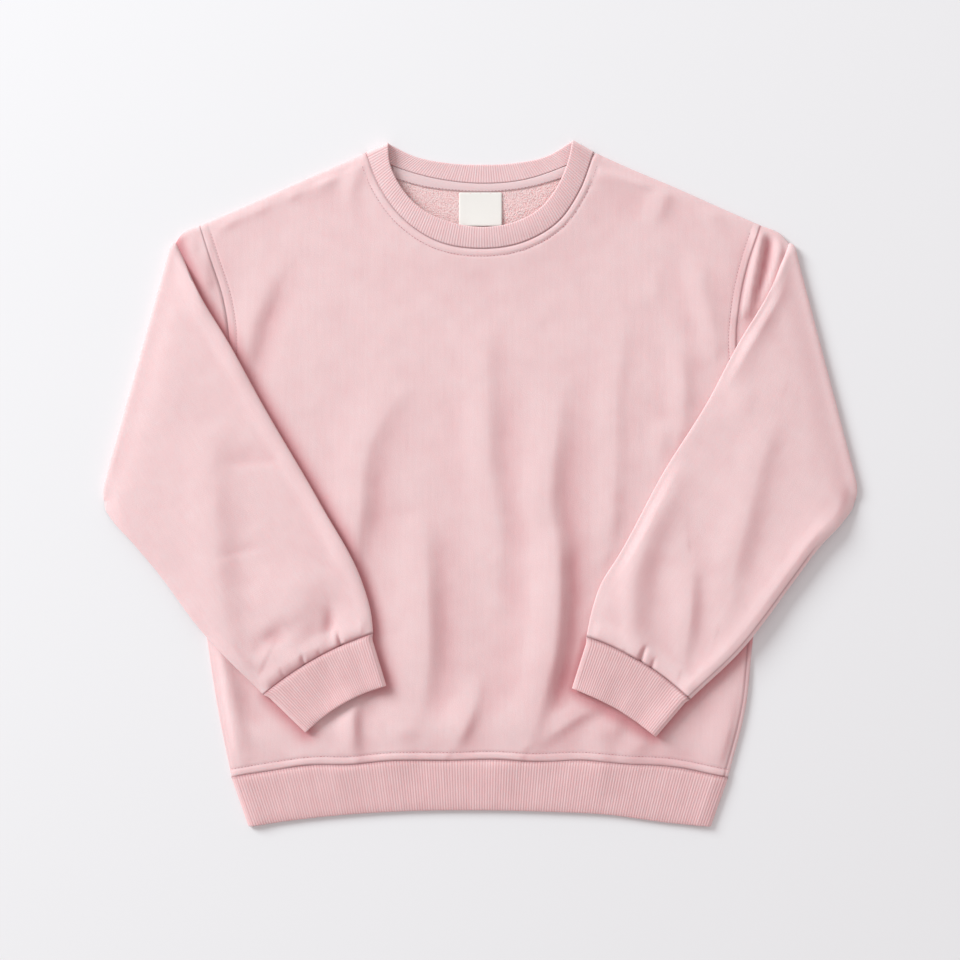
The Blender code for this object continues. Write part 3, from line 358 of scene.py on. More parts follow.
class Pattern:
    """The garment's seams and edges in plan, and how far a point lies in from its outer edge."""

    HEM_SEAM: Knots = (
        (-248, -293), (-204, -285.5), (-165.5, -280.5), (-131.5, -280.5), (-89.5, -276.5), (-37.5, -276.5),
        (19.5, -275.5), (52.5, -277.5), (98, -276), (151.5, -280), (183, -281.5), (246.5, -293.5),
    )
    HEM_EDGE: Knots = (
        (-230.5, -342.5), (-194.5, -337), (-146.5, -331.5), (-89.5, -327.5), (0, -326), (68.5, -327.5),
        (127.5, -330.5), (187, -338.5), (229, -342.5),
    )
    FRONT_NECK: Knots = (
        (-114.5, 329.5), (-103, 299.5), (-80, 266.5), (-43, 241.5), (0, 234.3), (43, 241), (78, 262),
        (98, 291), (113, 330),
    )
    FRONT_RIM: Knots = (
        (-92, 339.5), (-90.5, 320), (-83, 301.5), (-58, 273.5), (-34, 262), (0, 255.8), (34.5, 261),
        (58, 273.5), (81, 305), (88, 324), (91.5, 342),
    )
    BACK_NECK: Knots = (
        (-114.5, 329.5), (-80.5, 314.5), (-36, 303), (3, 299.6), (42, 303), (83.5, 316.5), (113, 330),
    )
    BACK_RIM: Knots = (
        (-92, 339.5), (-66, 327), (-34.5, 320.5), (0, 318.6), (34, 320.2), (66, 327), (91.5, 342),
    )
    TAPE_EDGE: Knots = (
        (-88, 305), (-57.5, 296.5), (-22.5, 292.3), (20.5, 292), (49.5, 296), (88, 307),
    )

    NOTCH_LOW, NOTCH_TOP, NOTCH_OUT = -105.0, 25.0, 362.0

    def __init__(self) -> None:
        """Works out every line, and the outer edges as lines that keep the outside on their left."""
        self.hem, self.hem_edge = smooth(self.HEM_SEAM, 140), smooth(self.HEM_EDGE, 140)
        self.neck, self.back_neck = smooth(self.FRONT_NECK, 120), smooth(self.BACK_NECK, 120)
        self.rim, self.back_rim = smooth(self.FRONT_RIM, 120), smooth(self.BACK_RIM, 120)
        self.tape = smooth(self.TAPE_EDGE)
        self.sides = (LEFT, RIGHT)
        left, right = LEFT.lines, RIGHT.lines
        edges = (
            (self.hem_edge[:1], left["side_seam"], left["root_bottom"]),
            (left["root_top"][::-1], left["shoulder"][::-1], self.rim[:1]),
            (self.rim[-1:], right["shoulder"], right["root_top"]),
            (right["root_bottom"][::-1], right["side_seam"][::-1], self.hem_edge[-1:]),
        )
        self.free_edges = tuple(self.without_repeats(np.vstack(parts)) for parts in edges)
        self.underlay = np.vstack([self.hem_edge[::-1], *self.bridged(self.free_edges)])

    def bridged(self, edges: tuple[Points, ...]) -> list[Points]:
        """The outer edges, cut straight across the notch under each arm, as a folded sleeve spans it."""
        lines = []
        for line in edges:
            notch = np.abs(line[:, 1] - self.NOTCH_TOP) < self.NOTCH_TOP - self.NOTCH_LOW
            lines.append(line[~(notch & (np.abs(line[:, 0]) < self.NOTCH_OUT))])
        return lines

    @staticmethod
    def without_repeats(line: Points) -> Points:
        """The line without points that repeat the one before."""
        return line[np.r_[True, np.hypot(*np.diff(line, axis=0).T) > TOUCH]]

    def edge_distance(self, points: Points) -> tuple[np.ndarray, Points]:
        """Distance in from the garment's outer edge, and the direction out across it."""
        found = [nearest(points, line) for line in self.free_edges]
        gaps = np.stack([gap for gap, _ in found])
        best = gaps.argmin(axis=0)[None, ..., None]
        normals = np.stack([normal for _, normal in found])
        return gaps.min(axis=0), np.take_along_axis(normals, best, axis=0)[0]

    def lee_distance(self, points: Points) -> np.ndarray:
        """Distance to the sleeve and cuff edges away from the light, beside which a painted shadow falls on
        the cloth below.
        """
        left, right = LEFT.lines, RIGHT.lines
        edges = (
            (left["inner_edge"], left["cuff_inner"][1:], left["cuff_outer"][1:]),
            (right["cuff_inner"][1:], right["cuff_outer"][::-1], right["outer_edge"][::-1]),
        )
        return np.minimum(*(nearest(points, np.vstack(parts))[0] for parts in edges))

    @staticmethod
    def right_shadow_distance(points: Points) -> np.ndarray:
        """Distance to the right sleeve's lower side, below which its rosy painted shade falls on the cloth.
        """
        lines = RIGHT.lines
        parts = (lines["cuff_inner"][-1:], lines["cuff_outer"][::-1], lines["outer_edge"][::-1])
        return nearest(points, np.vstack(parts))[0]

    def sleeve_outline(self, side: Side) -> Points:
        """The closed outline of a folded sleeve and its cuff."""
        lines = side.lines
        there = (lines["inner_edge"], lines["cuff_inner"][1:])
        back = (lines["cuff_outer"][::-1], lines["outer_edge"][::-1])
        return np.vstack([*there, *back])


# ---- folds and heights ----


@dataclass(frozen=True)
class Fold:
    """A soft ridge, or a trough where its heights are negative, along a smooth line.

    Fields: how far it spreads on the right-hand and on the left-hand side of its line, and the line's
    knots, each a place in plan and the height there. STEPS is how many points of the line there are for
    each knot, REACH how many widths away the fold ends, and BLEND how wide the strip is over which one
    width goes over to the other.
    """

    right: float
    left: float
    knots: tuple[tuple[float, float, float], ...]

    STEPS, REACH, BLEND = 6, 2.5, 4.0

    def relief(self, points: Points) -> np.ndarray:
        """The fold's height at plan points in a list: across the line a bell with a width for each side,
        times the height at the nearest place on the line, which fades past the two ends."""
        total = np.zeros(len(points))
        line = smooth(self.knots, self.STEPS * len(self.knots))
        plan, reach = line[:, :2], self.REACH * max(self.right, self.left)
        near = ((points > plan.min(0) - reach) & (points < plan.max(0) + reach)).all(axis=-1)
        if near.any():
            step = np.diff(line, axis=0)
            offset = points[near][:, None] - plan[:-1]
            share = np.clip((offset * step[:, :2]).sum(-1) / (step[:, :2] ** 2).sum(-1), 0, 1)
            away = offset - share[..., None] * step[:, :2]
            best = (away**2).sum(-1).argmin(axis=1)
            row = np.arange(len(best))
            side = cross(step[best, :2], offset[row, best])
            blend = ease(0.5 + side / np.hypot(*step[best, :2].T) / self.BLEND)
            width = self.right + (self.left - self.right) * blend
            height = line[best, 2] + share[row, best] * step[best, 2]
            total[near] = height * bell(np.linalg.norm(away[row, best], axis=-1), width)
        return total


def creases(points: Points, folds: tuple[Fold, ...]) -> np.ndarray:
    """The sum of the folds' heights over a grid of plan points."""
    flat = points.reshape(-1, 2)
    return sum(fold.relief(flat) for fold in folds).reshape(points.shape[:-1])


BODY_FOLDS = (
    Fold(18, 10, ((-207.5, 212.5, 0.2), (-215.5, 192.5, 1), (-229.5, 155.5, 1.6), (-238, 121.5, 1.4))),
    Fold(8, 14, (
        (-190.5, 210.5, -0.3), (-198.5, 192.5, -0.8), (-212.5, 155.5, -1.1), (-221, 121.5, -1),
        (-226, 98, -0.5),
    )),
    Fold(8, 6, ((-260.5, 253.5, 0.6), (-250.5, 264.5, 1.8), (-239.5, 270.5, 0.6))),
    Fold(8, 6, ((-234.5, 270.5, 0.6), (-220.5, 278.5, 1.7), (-208.5, 283.5, 0.4))),
    Fold(9, 6, ((-199.5, 286.5, 0.4), (-189.5, 291.5, 1.9), (-177.5, 295.5, 0.6))),
    Fold(8, 6, ((-169.5, 294.5, 0.4), (-154.5, 301.5, 1.8), (-138.5, 308.5, 0.2))),
    Fold(9, 8, ((-121.5, 318.5, 0.8), (-127.5, 301.5, 1.6), (-131.5, 283.5, 0.4))),
    Fold(28, 12, (
        (-66.5, 105.5, 0), (-82.5, 87.5, 0.8), (-100.5, 63.5, 1.6), (-113.5, 35.5, 2.4),
        (-119.5, 3.5, 3.2), (-120.5, -22.5, 3.8), (-124.5, -48.5, 3.6), (-130.5, -78.5, 2.4),
    )),
    Fold(34, 11, (
        (-66.5, -24.5, 0), (-57.5, -56.5, 1.8), (-54.5, -86.5, 3.2), (-53.5, -118.5, 4.2),
        (-52.5, -151.5, 4.2), (-53.5, -181.5, 3.6), (-57.5, -206.5, 2.2), (-62.5, -224.5, 0.8),
        (-66.5, -238.5, 0),
    )),
    Fold(30, 26, ((-76.5, -216.5, 0.4), (-80.5, -241.5, 1.6), (-84.5, -266.5, 1.6))),
    Fold(24, 11, (
        (7.5, 165.5, 0), (5.5, 133.5, 1.2), (5.5, 93.5, 1.8), (6.5, 63.5, 2.6), (7.5, 28.5, 3.2),
        (10.5, -1.5, 2.6), (15.5, -31.5, 1.8), (16.5, -66.5, 1.4), (14.5, -106.5, 0.8), (12.5, -156.5, 0),
    )),
    Fold(32, 12, (
        (80.5, 111.5, 0), (77.5, 78.5, 1.6), (73.5, 43.5, 2.8), (69.5, 8.5, 4.2), (68.5, -21.5, 4.6),
        (71.5, -42.5, 4.4), (75.5, -64.5, 6.4), (76.5, -91.5, 7.6), (75.5, -136.5, 7.6), (70.5, -176.5, 7),
        (62.5, -208.5, 5.4), (54.5, -234.5, 3.2), (47.5, -256.5, 1),
    )),
    Fold(18, 8, (
        (141.5, 165.5, 0.2), (139.5, 133.5, 0.8), (134.5, 83.5, 1.1), (134.5, 33.5, 1.2),
        (132.5, -6.5, 1.6), (130.5, -41.5, 1.8), (127.5, -64.5, 0.8),
    )),
    Fold(14, 9, ((185.5, 293.5, 1.5), (179.5, 275.5, 1.7), (172.5, 255.5, 0))),
    Fold(9, 7, ((119.5, 307.5, 1.2), (143.5, 304.5, 1.9), (165.5, 301.5, 2), (174.5, 300.5, 0.2))),
    Fold(10, 7, ((213.5, 275.5, 0), (231.5, 271.5, 1.2), (251.5, 264.5, 0))),
    Fold(14, 9, ((215.5, 228.5, 0.2), (220.5, 193.5, 1.7), (227.5, 169.5, 1.8), (234.5, 138.5, 1.2))),
    Fold(14, 9, ((195.5, 148.5, 0.2), (200.5, 115.5, 1.7), (202.5, 85.5, 2.2), (200.5, 55.5, 1.2))),
    Fold(12, 8, ((173.5, 221.5, 0), (174.5, 198.5, 0.8), (175.5, 175.5, 0))),
    Fold(12, 8, ((183.5, 68.5, 0), (180.5, 43.5, 1), (175.5, 15.5, 0))),
    Fold(12, 9, (
        (-259.5, -166.5, 2.6), (-251.5, -200.5, 4), (-246.5, -224.5, 3.8), (-241.5, -248.5, 2.4),
        (-234.5, -268.5, 0.6),
    )),
    Fold(13, 7, ((-127.5, -216.5, 4), (-127.5, -240.5, 4.8), (-126.5, -258.5, 3), (-124.5, -272.5, 1))),
    Fold(22, 8, (
        (-1.5, -184.5, 0), (-5.5, -206.5, 1.2), (-10.5, -228.5, 2.8), (-17.5, -246.5, 3.2),
        (-25.5, -260.5, 0.8),
    )),
    Fold(18, 7, ((119.5, -220.5, 1.4), (97.5, -231.5, 2.6), (77.5, -244.5, 2.4), (59.5, -256.5, 0.6))),
    Fold(10, 8, ((135.5, -228.5, 1.6), (135.5, -242.5, 1.4), (133.5, -254.5, 0))),
    Fold(8, 8, ((-94.5, -243.5, 0), (-78.5, -247.5, 0.9), (-60.5, -250.5, 0))),
    Fold(16, 10, ((250.5, -206.5, 0.6), (244.5, -238.5, 1.4), (237.5, -264.5, 1.2), (231.5, -282.5, 0.6))),
    Fold(16, 12, ((115.5, -232.5, 0), (119.5, -251.5, 1.6), (123.5, -268.5, 1.4))),
    Fold(12, 10, ((165.5, -244.5, 0.4), (159.5, -258.5, 1.4), (149.5, -270.5, 1.2))),
    Fold(20, 12, ((-180.5, -251.5, 0.4), (-170.5, -264.5, 1.4), (-150.5, -272.5, 1.2))),
    Fold(6, 5, ((281.5, 253.5, 3.6), (275.5, 223.5, 4.4), (270.5, 197.5, 4.4), (264.5, 171.5, 3.6))),
    Fold(5, 9, ((300.5, 250.5, 3.4), (297.5, 228.5, 4), (291.5, 205.5, 3.2), (283.5, 187.5, 1.6))),
    Fold(5, 5, ((288.5, 248.5, -1), (285.5, 221.5, -2), (281.5, 201.5, -2), (276.5, 184.5, -1))),
    Fold(7, 6, ((-290.5, 247.5, 0.4), (-286.5, 231.5, 1.8), (-277.5, 207.5, 1.8), (-269.5, 183.5, 0.8))),
    Fold(6, 5, ((-274.5, 237.5, 0.4), (-273.5, 221.5, 1.4), (-270.5, 203.5, 1))),
)
SLEEVE_FOLDS = {
    "left": (
        Fold(28, 18, (
            (-274.5, 65.5, 0), (-269.5, 23.5, 1.6), (-266.5, -16.5, 2.6), (-264.5, -61.5, 3.2),
            (-260.5, -106.5, 3.4), (-253.5, -144.5, 3), (-245.5, -176.5, 1.6),
        )),
        Fold(22, 16, ((-310.5, 183.5, 0.4), (-318.5, 133.5, 0.8), (-320.5, 83.5, 0.6), (-322.5, 43.5, 0))),
        Fold(6, 16, (
            (-264.5, 22.5, 0), (-244.5, 21.5, -0.6), (-224.5, 22.5, -0.8), (-206.5, 25.5, -0.6),
            (-192.5, 28.5, 0),
        )),
        Fold(4, 9, ((-272.5, -77.5, 0), (-250.5, -70.5, -0.5), (-230.5, -65.5, -0.5), (-212.5, -60.5, 0))),
        Fold(42, 30, (
            (-160.5, -76.5, 0), (-176.5, -104.5, 2.8), (-190.5, -124.5, 3.4), (-198.5, -141.5, 2.6),
        )),
        Fold(11, 9, ((-218.5, -159.5, -1), (-206.5, -152.5, -2.3), (-193.5, -143.5, -1))),
        Fold(7, 6, ((-149.5, -120.5, -0.4), (-149.5, -138.5, -2), (-150.5, -156.5, -1))),
        Fold(13, 13, ((-130.5, -116.5, 0.6), (-131.5, -136.5, 2.2), (-130.5, -150.5, 2))),
        Fold(2.4, 2.6, ((-137.5, -162.5, -3.2), (-140.5, -154.5, -2.6), (-142.5, -146.5, 0))),
        Fold(2.2, 2.4, ((-174.5, -183.5, -2.6), (-176.5, -176.5, -1.8), (-177.5, -169.5, 0))),
        Fold(2, 2.2, ((-158.5, -175.5, -1), (-160.5, -169.5, -0.8), (-161.5, -164.5, 0))),
        Fold(2, 2.2, ((-194.5, -193.5, -0.8), (-197.5, -187.5, -0.6), (-199.5, -182.5, 0))),
        Fold(16, 14, ((-225.5, -171.5, 1), (-210.5, -176.5, 1.6), (-190.5, -171.5, 0.8))),
    ),
    "right": (
        Fold(12, 12, (
            (309.5, 221.5, 0.6), (295.5, 193.5, 2.6), (277.5, 163.5, 3.2), (260.5, 133.5, 2.4),
            (243.5, 101.5, 0.6),
        )),
        Fold(14, 16, (
            (203.5, 28.5, 0), (190.5, 3.5, 1.6), (177.5, -24.5, 3), (163.5, -54.5, 3.8),
            (153.5, -84.5, 4.2), (150.5, -116.5, 4.2), (151.5, -144.5, 3.4), (155.5, -166.5, 2.6),
        )),
        Fold(20, 9, (
            (207.5, -76.5, 0.8), (208.5, -106.5, 2.8), (207.5, -131.5, 3.4), (204.5, -156.5, 2.4),
            (199.5, -180.5, 1),
        )),
        Fold(24, 14, (
            (295.5, 73.5, 0.4), (284.5, 43.5, 1.8), (274.5, 13.5, 2.4), (267.5, -16.5, 3),
            (260.5, -46.5, 3.4), (252.5, -76.5, 3.2), (246.5, -106.5, 2.4), (239.5, -131.5, 1.2),
        )),
        Fold(20, 14, (
            (353.5, -16.5, 1), (331.5, -46.5, 1.8), (305.5, -78.5, 2), (279.5, -110.5, 2),
            (253.5, -144.5, 2), (227.5, -178.5, 1.4),
        )),
        Fold(7, 7, ((298.5, 231.5, -0.6), (303.5, 227.5, -1.4), (307.5, 221.5, 0))),
        Fold(2.8, 2.4, ((158.5, -182.5, -3.2), (160.5, -171.5, -3.4), (165.5, -160.5, 0))),
        Fold(2.2, 2.4, ((169.5, -187.5, -2), (171.5, -180.5, -1.6), (173.5, -172.5, 0))),
        Fold(2, 2.2, ((141.5, -174.5, -0.9), (143.5, -168.5, -0.7), (144.5, -162.5, 0))),
        Fold(16, 14, ((264.5, 103.5, 0), (261.5, 78.5, 0.9), (255.5, 53.5, 0))),
    ),
}
HEM_FOLDS = (
    Fold(16, 14, ((-140.5, -282.5, 1.4), (-142.5, -304.5, 0.9), (-144.5, -320.5, 0))),
    Fold(16, 14, ((-62.5, -274.5, -1.7), (-60.5, -291.5, -1.1), (-59.5, -308.5, 0))),
    Fold(16, 13, ((19.5, -278.5, 1.9), (22.5, -300.5, 1.2), (24.5, -318.5, 0))),
    Fold(12, 12, ((74.5, -274.5, -1.7), (77.5, -289.5, -1), (79.5, -302.5, 0))),
    Fold(14, 12, ((119.5, -278.5, 1.7), (122.5, -298.5, 1.1), (124.5, -314.5, 0))),
    Fold(12, 12, ((173.5, -278.5, -1.4), (176.5, -292.5, -0.8), (177.5, -305.5, 0))),
)
CUFF_FOLDS = {
    "left": (
        Fold(12, 12, ((-150.5, -156.5, 0), (-153.5, -188.5, -1.2), (-154.5, -220.5, -0.6))),
        Fold(12, 10, ((-128.5, -166.5, 1), (-124.5, -186.5, 0.4), (-120.5, -206.5, 0))),
    ),
    "right": (
        Fold(10, 10, ((141.5, -188.5, 0), (136.5, -210.5, -1.2), (137.5, -232.5, -0.8))),
        Fold(12, 10, ((179.5, -196.5, 0.8), (175.5, -216.5, 0.4), (169.5, -236.5, 0))),
    ),
}


def softened(values: np.ndarray, passes: int) -> np.ndarray:
    """A grid's values, each averaged with its eight neighbours this many times."""
    for _ in range(passes):
        for axis in (0, 1):
            values = (np.roll(values, 1, axis) + 2 * values + np.roll(values, -1, axis)) / 4
    return values


@dataclass(frozen=True)
class PaintedShading:
    """Painted shade: where the finish deepens its colour in hollows and on the lee of folds, away from the
    key light.
    """

    hollow_shade_depth: float = 2.2
    hollow_shade_share: float = 0.7
    # the way the key light travels in plan: slopes falling this way are the lee of folds and get painted
    # shade
    light_heading: tuple[float, float] = (0.8, -0.6)
    steep: float = 0.4
    lee_shade_share: float = 0.55
    clear: float = 4.0
    clear_ease: float = 8.0

    def closed(self, slope_x: np.ndarray, slope_y: np.ndarray) -> np.ndarray:
        """How far the cloth slopes away from the key light, from 0 to 1: the lee of folds, which gets painted
        shade."""
        along_x, along_y = self.light_heading
        return np.clip((-along_y * slope_y - along_x * slope_x) / self.steep, 0, 1)

    def depth(self, height: np.ndarray, closed: np.ndarray, edge: np.ndarray, passes: int) -> np.ndarray:
        """How deep the painted shade is at each point of a grid, away from the cloth's edges.

        Args:
            height: The height of the cloth's middle.
            closed: How far it slopes away from the key light.
            edge: Distance in from the cloth's edges.
            passes: How many times the height is smoothed to find what lies under its surroundings.

        Returns:
            0 on open cloth, and up to the two shares' sum.
        """
        # painted shade where the cloth lies below its smoothed surroundings, in hollows where shade falls
        hollow = np.clip((softened(height, passes) - height) / self.hollow_shade_depth, 0, 1)
        clear = ease((edge - self.clear) / self.clear_ease)
        return (self.hollow_shade_share * hollow + self.lee_shade_share * closed) * clear


PAINTED_SHADING = PaintedShading()


class Field:
    """Values on an even grid in plan, read between its points from the four around each."""

    LOW = np.array([-404.0, -368.0])
    STEP = 2.5
    COLUMNS = 324
    ROWS = 300

    def __init__(self, values: np.ndarray) -> None:
        """Keeps the values, one for each point of the grid."""
        self.values = values

    @classmethod
    def points(cls) -> Points:
        """The grid's own points."""
        x = cls.LOW[0] + cls.STEP * np.arange(cls.COLUMNS)
        y = cls.LOW[1] + cls.STEP * np.arange(cls.ROWS)
        return np.stack(np.meshgrid(x, y), axis=-1)

    def at(self, points: Points) -> np.ndarray:
        """The value at each point, linear in both directions between the grid's points."""
        place = (points - self.LOW) / self.STEP
        low = np.clip(np.floor(place).astype(int), 0, (self.COLUMNS - 2, self.ROWS - 2))
        tx, ty = np.moveaxis(np.clip(place - low, 0, 1), -1, 0)
        c, r = low[..., 0], low[..., 1]
        lower = (1 - tx) * self.values[r, c] + tx * self.values[r, c + 1]
        upper = (1 - tx) * self.values[r + 1, c] + tx * self.values[r + 1, c + 1]
        return (1 - ty) * lower + ty * upper

    def slopes(self) -> tuple["Field", "Field"]:
        """How fast the values rise along X and along Y."""
        along_y, along_x = np.gradient(self.values, self.STEP)
        return Field(along_x), Field(along_y)

    def spread(self, reach: float, turns: int = 16) -> "Field":
        """The highest value within `reach` of each point."""
        angles = np.linspace(0, 2 * np.pi, turns, endpoint=False)
        offsets = np.stack([np.cos(angles), np.sin(angles)], axis=-1)
        points, highest = self.points(), self.values
        for size in (reach / 2, reach):
            for offset in size * offsets:
                highest = np.maximum(highest, self.at(points + offset))
        return Field(highest)

    def softened(self, passes: int) -> "Field":
        """The values, each averaged with its eight neighbours this many times."""
        return Field(softened(self.values, passes))


@dataclass
class BodyLie:
    """The height of the front cloth's middle over the plan, and of what a folded sleeve rests on."""

    pattern: Pattern
    neck_lift: float = 1.6
    neck_reach: float = 26.0
    blouse_rise: float = 1.6
    blouse_at: float = 34.0
    blouse_reach: float = 24.0
    cover_ease: float = 9.0
    bridge: float = 12.0
    drape: float = 40.0
    rest_gap: float = 0.8
    ripple: float = 0.22
    covered_share: float = 0.85
    shade_passes: int = 80
    bed_passes: int = 8

    def __post_init__(self) -> None:
        """Works out both heights on the plan grid, and how deep the front's painted shade is."""
        points = Field.points()
        edge, _ = self.pattern.edge_distance(points)
        self.front = Field(self.front_height(points, edge))
        self.slope_x, self.slope_y = self.front.slopes()
        # painted shade on the lee of the front's folds and in its hollows
        closed = PAINTED_SHADING.closed(self.slope_x.values, self.slope_y.values)
        deep = PAINTED_SHADING.depth(self.front.values, closed, edge, self.shade_passes)
        self.hollow = Field(np.clip(deep, 0, 1))
        self.bed = Field(self.bed_height(points)).softened(self.bed_passes)
        highest = self.front.values.max(), self.bed.values.max()
        LOG.info("heights: front up to %.1f mm, bed up to %.1f", *highest)

    def under_sleeves(self, points: Points) -> np.ndarray:
        """0 where the front shows, 1 under a folded sleeve, eased over its edge."""
        cover = np.zeros(points.shape[:-1])
        for side in self.pattern.sides:
            outline = self.pattern.sleeve_outline(side)
            gap, _ = nearest(points, outline)
            inward = np.where(inside(points, outline), gap, -gap)
            cover = np.maximum(cover, ease((inward + self.cover_ease) / (2 * self.cover_ease)))
        return cover

    def front_height(self, points: Points, edge: np.ndarray) -> np.ndarray:
        """The puffed edge, the lift at the neck, the fullness above the hem, the folds and a ripple."""
        height = LIE.crowned(edge, LIE.lay, LIE.wall / 2 + 2 * LIE.roll)
        neck, _ = nearest(points, self.pattern.neck)
        height = height + self.neck_lift * bell(neck, self.neck_reach)
        hem = self.pattern.hem
        above_hem = points[..., 1] - np.interp(points[..., 0], hem[:, 0], hem[:, 1])
        shown = 1 - self.covered_share * self.under_sleeves(points)
        shown = shown * ease((edge - LIE.roll) / LIE.fold_fade)
        full = self.blouse_rise * bell(above_hem - self.blouse_at, self.blouse_reach)
        broad, fine = wander(points, cell=34.0, seed=5), wander(points, cell=13.0, seed=6)
        ripple = self.ripple * (broad + fine / 2)
        height = height + shown * (full + creases(points, BODY_FOLDS) + ripple)
        return np.maximum(height, LIE.lowest)

    def bed_height(self, points: Points) -> np.ndarray:
        """What a sleeve lies on: it spans dips of the cloth below, and past it comes down to the floor."""
        highest = self.front.spread(self.bridge).values
        gap, _ = nearest(points, np.vstack([self.pattern.underlay, self.pattern.underlay[:1]]))
        past = np.where(inside(points, self.pattern.underlay), 0.0, np.maximum(gap - self.bridge / 2, 0))
        return (highest + LIE.wall / 2 + self.rest_gap) * (1 - ease(past / self.drape))


# ---- shells between two grids ----


def curtained(normals: np.ndarray, seam: np.ndarray) -> np.ndarray:
    """The normals without their part across a seam, so that a wall ends square to it."""
    across = unit(np.stack([-seam[..., 1], seam[..., 0]], axis=-1))
    flat = normals[..., :2] - (normals[..., :2] * across).sum(-1, keepdims=True) * across
    return unit(np.concatenate([flat, normals[..., 2:]], axis=-1))


def ring_normals(middle: np.ndarray, layer: np.ndarray) -> np.ndarray:
    """Normals out of a closed ring's grid: the cross product of its two directions, turned to the outside."""
    down = np.gradient(middle, axis=0)
    round_it = np.roll(middle, -1, axis=1) - np.roll(middle, 1, axis=1)
    normals = unit(np.cross(down, round_it))
    centre = middle.mean(axis=1, keepdims=True)
    away = (middle - centre) * normals
    return normals if away[:, layer == 0].sum() + away.sum() > 0 else -normals


def grid_quads(rows: int, columns: int, closed: bool, first: int = 0) -> np.ndarray:
    """Quads of a grid of points that are numbered row by row from `first`."""
    last = columns if closed else columns - 1
    r, c = np.meshgrid(np.arange(rows - 1), np.arange(last), indexing="ij")
    n = (c + 1) % columns
    quads = np.stack([r * columns + c, r * columns + n, (r + 1) * columns + n, (r + 1) * columns + c], -1)
    return quads.reshape(-1, 4) + first


def facing_out(vertices: np.ndarray, quads: np.ndarray) -> np.ndarray:
    """The quads of a closed body, all turned over if the volume that they enclose comes out negative."""
    a, b, c, d = (vertices[quads[:, k]] for k in range(4))
    volume = (a * np.cross(b, c)).sum() + (a * np.cross(c, d)).sum()
    return quads if volume > 0 else quads[:, ::-1]


def mesh_object(name: str, vertices: np.ndarray, quads: np.ndarray) -> bpy.types.Object:
    """A smooth mesh object at the origin, from vertices in millimetres and quads.

    Args:
        name: The object's name.
        vertices: Its points, one row each.
        quads: Four point numbers for each face.

    Returns:
        The object, linked into the scene.
    """
    mesh = bpy.data.meshes.new(name)
    mesh.vertices.add(len(vertices))
    mesh.vertices.foreach_set("co", (vertices * MM).astype(np.float32).ravel())
    mesh.loops.add(quads.size)
    mesh.loops.foreach_set("vertex_index", quads.astype(np.int32).ravel())
    mesh.polygons.add(len(quads))
    mesh.polygons.foreach_set("loop_start", np.arange(0, quads.size, 4, dtype=np.int32))
    mesh.update(calc_edges=True)
    mesh.validate()
    mesh.shade_smooth()
    made = bpy.data.objects.new(name, mesh)
    bpy.context.scene.collection.objects.link(made)
    return made


def point_values(mesh: bpy.types.Mesh, name: str, values: np.ndarray) -> None:
    """Keeps a number, or a vector, for each point of a mesh under this name."""
    kind, key = ("FLOAT", "value") if values.ndim == 1 else ("FLOAT_VECTOR", "vector")
    attribute = mesh.attributes.new(name, kind, "POINT")
    attribute.data.foreach_set(key, values.astype(np.float32).ravel())


@dataclass
class Shell:
    """A closed wall between an outer and an inner grid of the same size, open-sided or a ring.

    Fields: the grids in millimetres, whether the columns close into a ring, the place of each point on
    the flat cloth, and marks from 0 to 1 that the finish reads.
    """

    name: str
    outer: np.ndarray
    inner: np.ndarray
    closed: bool
    cloth: np.ndarray
    marks: dict[str, np.ndarray] = field(default_factory=dict)

    def faces(self) -> tuple[np.ndarray, int, int]:
        """Every quad facing out, the count of the outer ones and that of the outer and inner ones."""
        rows, columns = self.outer.shape[:2]
        count = rows * columns
        outer = grid_quads(rows, columns, self.closed)
        inner = grid_quads(rows, columns, self.closed, count)[:, ::-1]
        index = np.arange(count).reshape(rows, columns)
        if self.closed:
            loops = (index[0], index[-1, ::-1])
        else:
            loops = (np.concatenate([index[0, :-1], index[:-1, -1], index[-1, :0:-1], index[:0:-1, 0]]),)
        rims = [
            np.stack([loop, loop + count, np.roll(loop, -1) + count, np.roll(loop, -1)], axis=-1)
            for loop in loops
        ]
        quads = facing_out(self.vertices(), np.vstack([outer, inner, *rims]))
        return quads, len(outer), len(outer) + len(inner)

    def vertices(self) -> np.ndarray:
        """The points of the outer grid, then those of the inner one."""
        return np.vstack([self.outer.reshape(-1, 3), self.inner.reshape(-1, 3)])

    def build(self, finishes: tuple["Finish", "Finish"], node: str, slot: str) -> bpy.types.Object:
        """Makes the object that stands for a CAD node.

        Args:
            finishes: The finish outside, also on the rims, and the one inside.
            node: The CAD node that it replaces.
            slot: Not used.

        Returns:
            The finished object, riding on the root.
        """
        quads, outer_end, inner_end = self.faces()
        made = mesh_object(self.name, self.vertices(), quads)
        cloth = np.pad(self.cloth.reshape(-1, 2), ((0, 0), (0, 1)))
        point_values(made.data, "cloth", np.vstack([cloth, cloth]))
        for mark in Mark:
            values = self.marks.get(mark.value, np.zeros(self.outer.shape[:2])).ravel()
            point_values(made.data, mark.value, np.concatenate([values, values]))
        for finish in finishes:
            made.data.materials.append(finish.material())
        index = np.zeros(len(quads), np.int32)
        index[outer_end:inner_end] = 1
        made.data.polygons.foreach_set("material_index", index)
        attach(made, "root")
        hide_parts(node)
        LOG.info("%s: %d quads", self.name, len(quads))
        return made


class Mark(Enum):
    """The marks that a shell can carry for its finish, which paints shade by them."""

    # in order: painted shade in the seams' ditches; 1 on rib crests and 0 in grooves, which get painted
    # shade; painted shade in hollows, on lee slopes and beside the sleeves
    SEAM = "seam"
    RIDGE = "ridge"
    HOLLOW = "hollow"


class Place(Enum):
    """How a ring's column is placed: by its distance from either edge, or by its share between them."""

    START = 0
    MIDDLE = 1
    END = 2


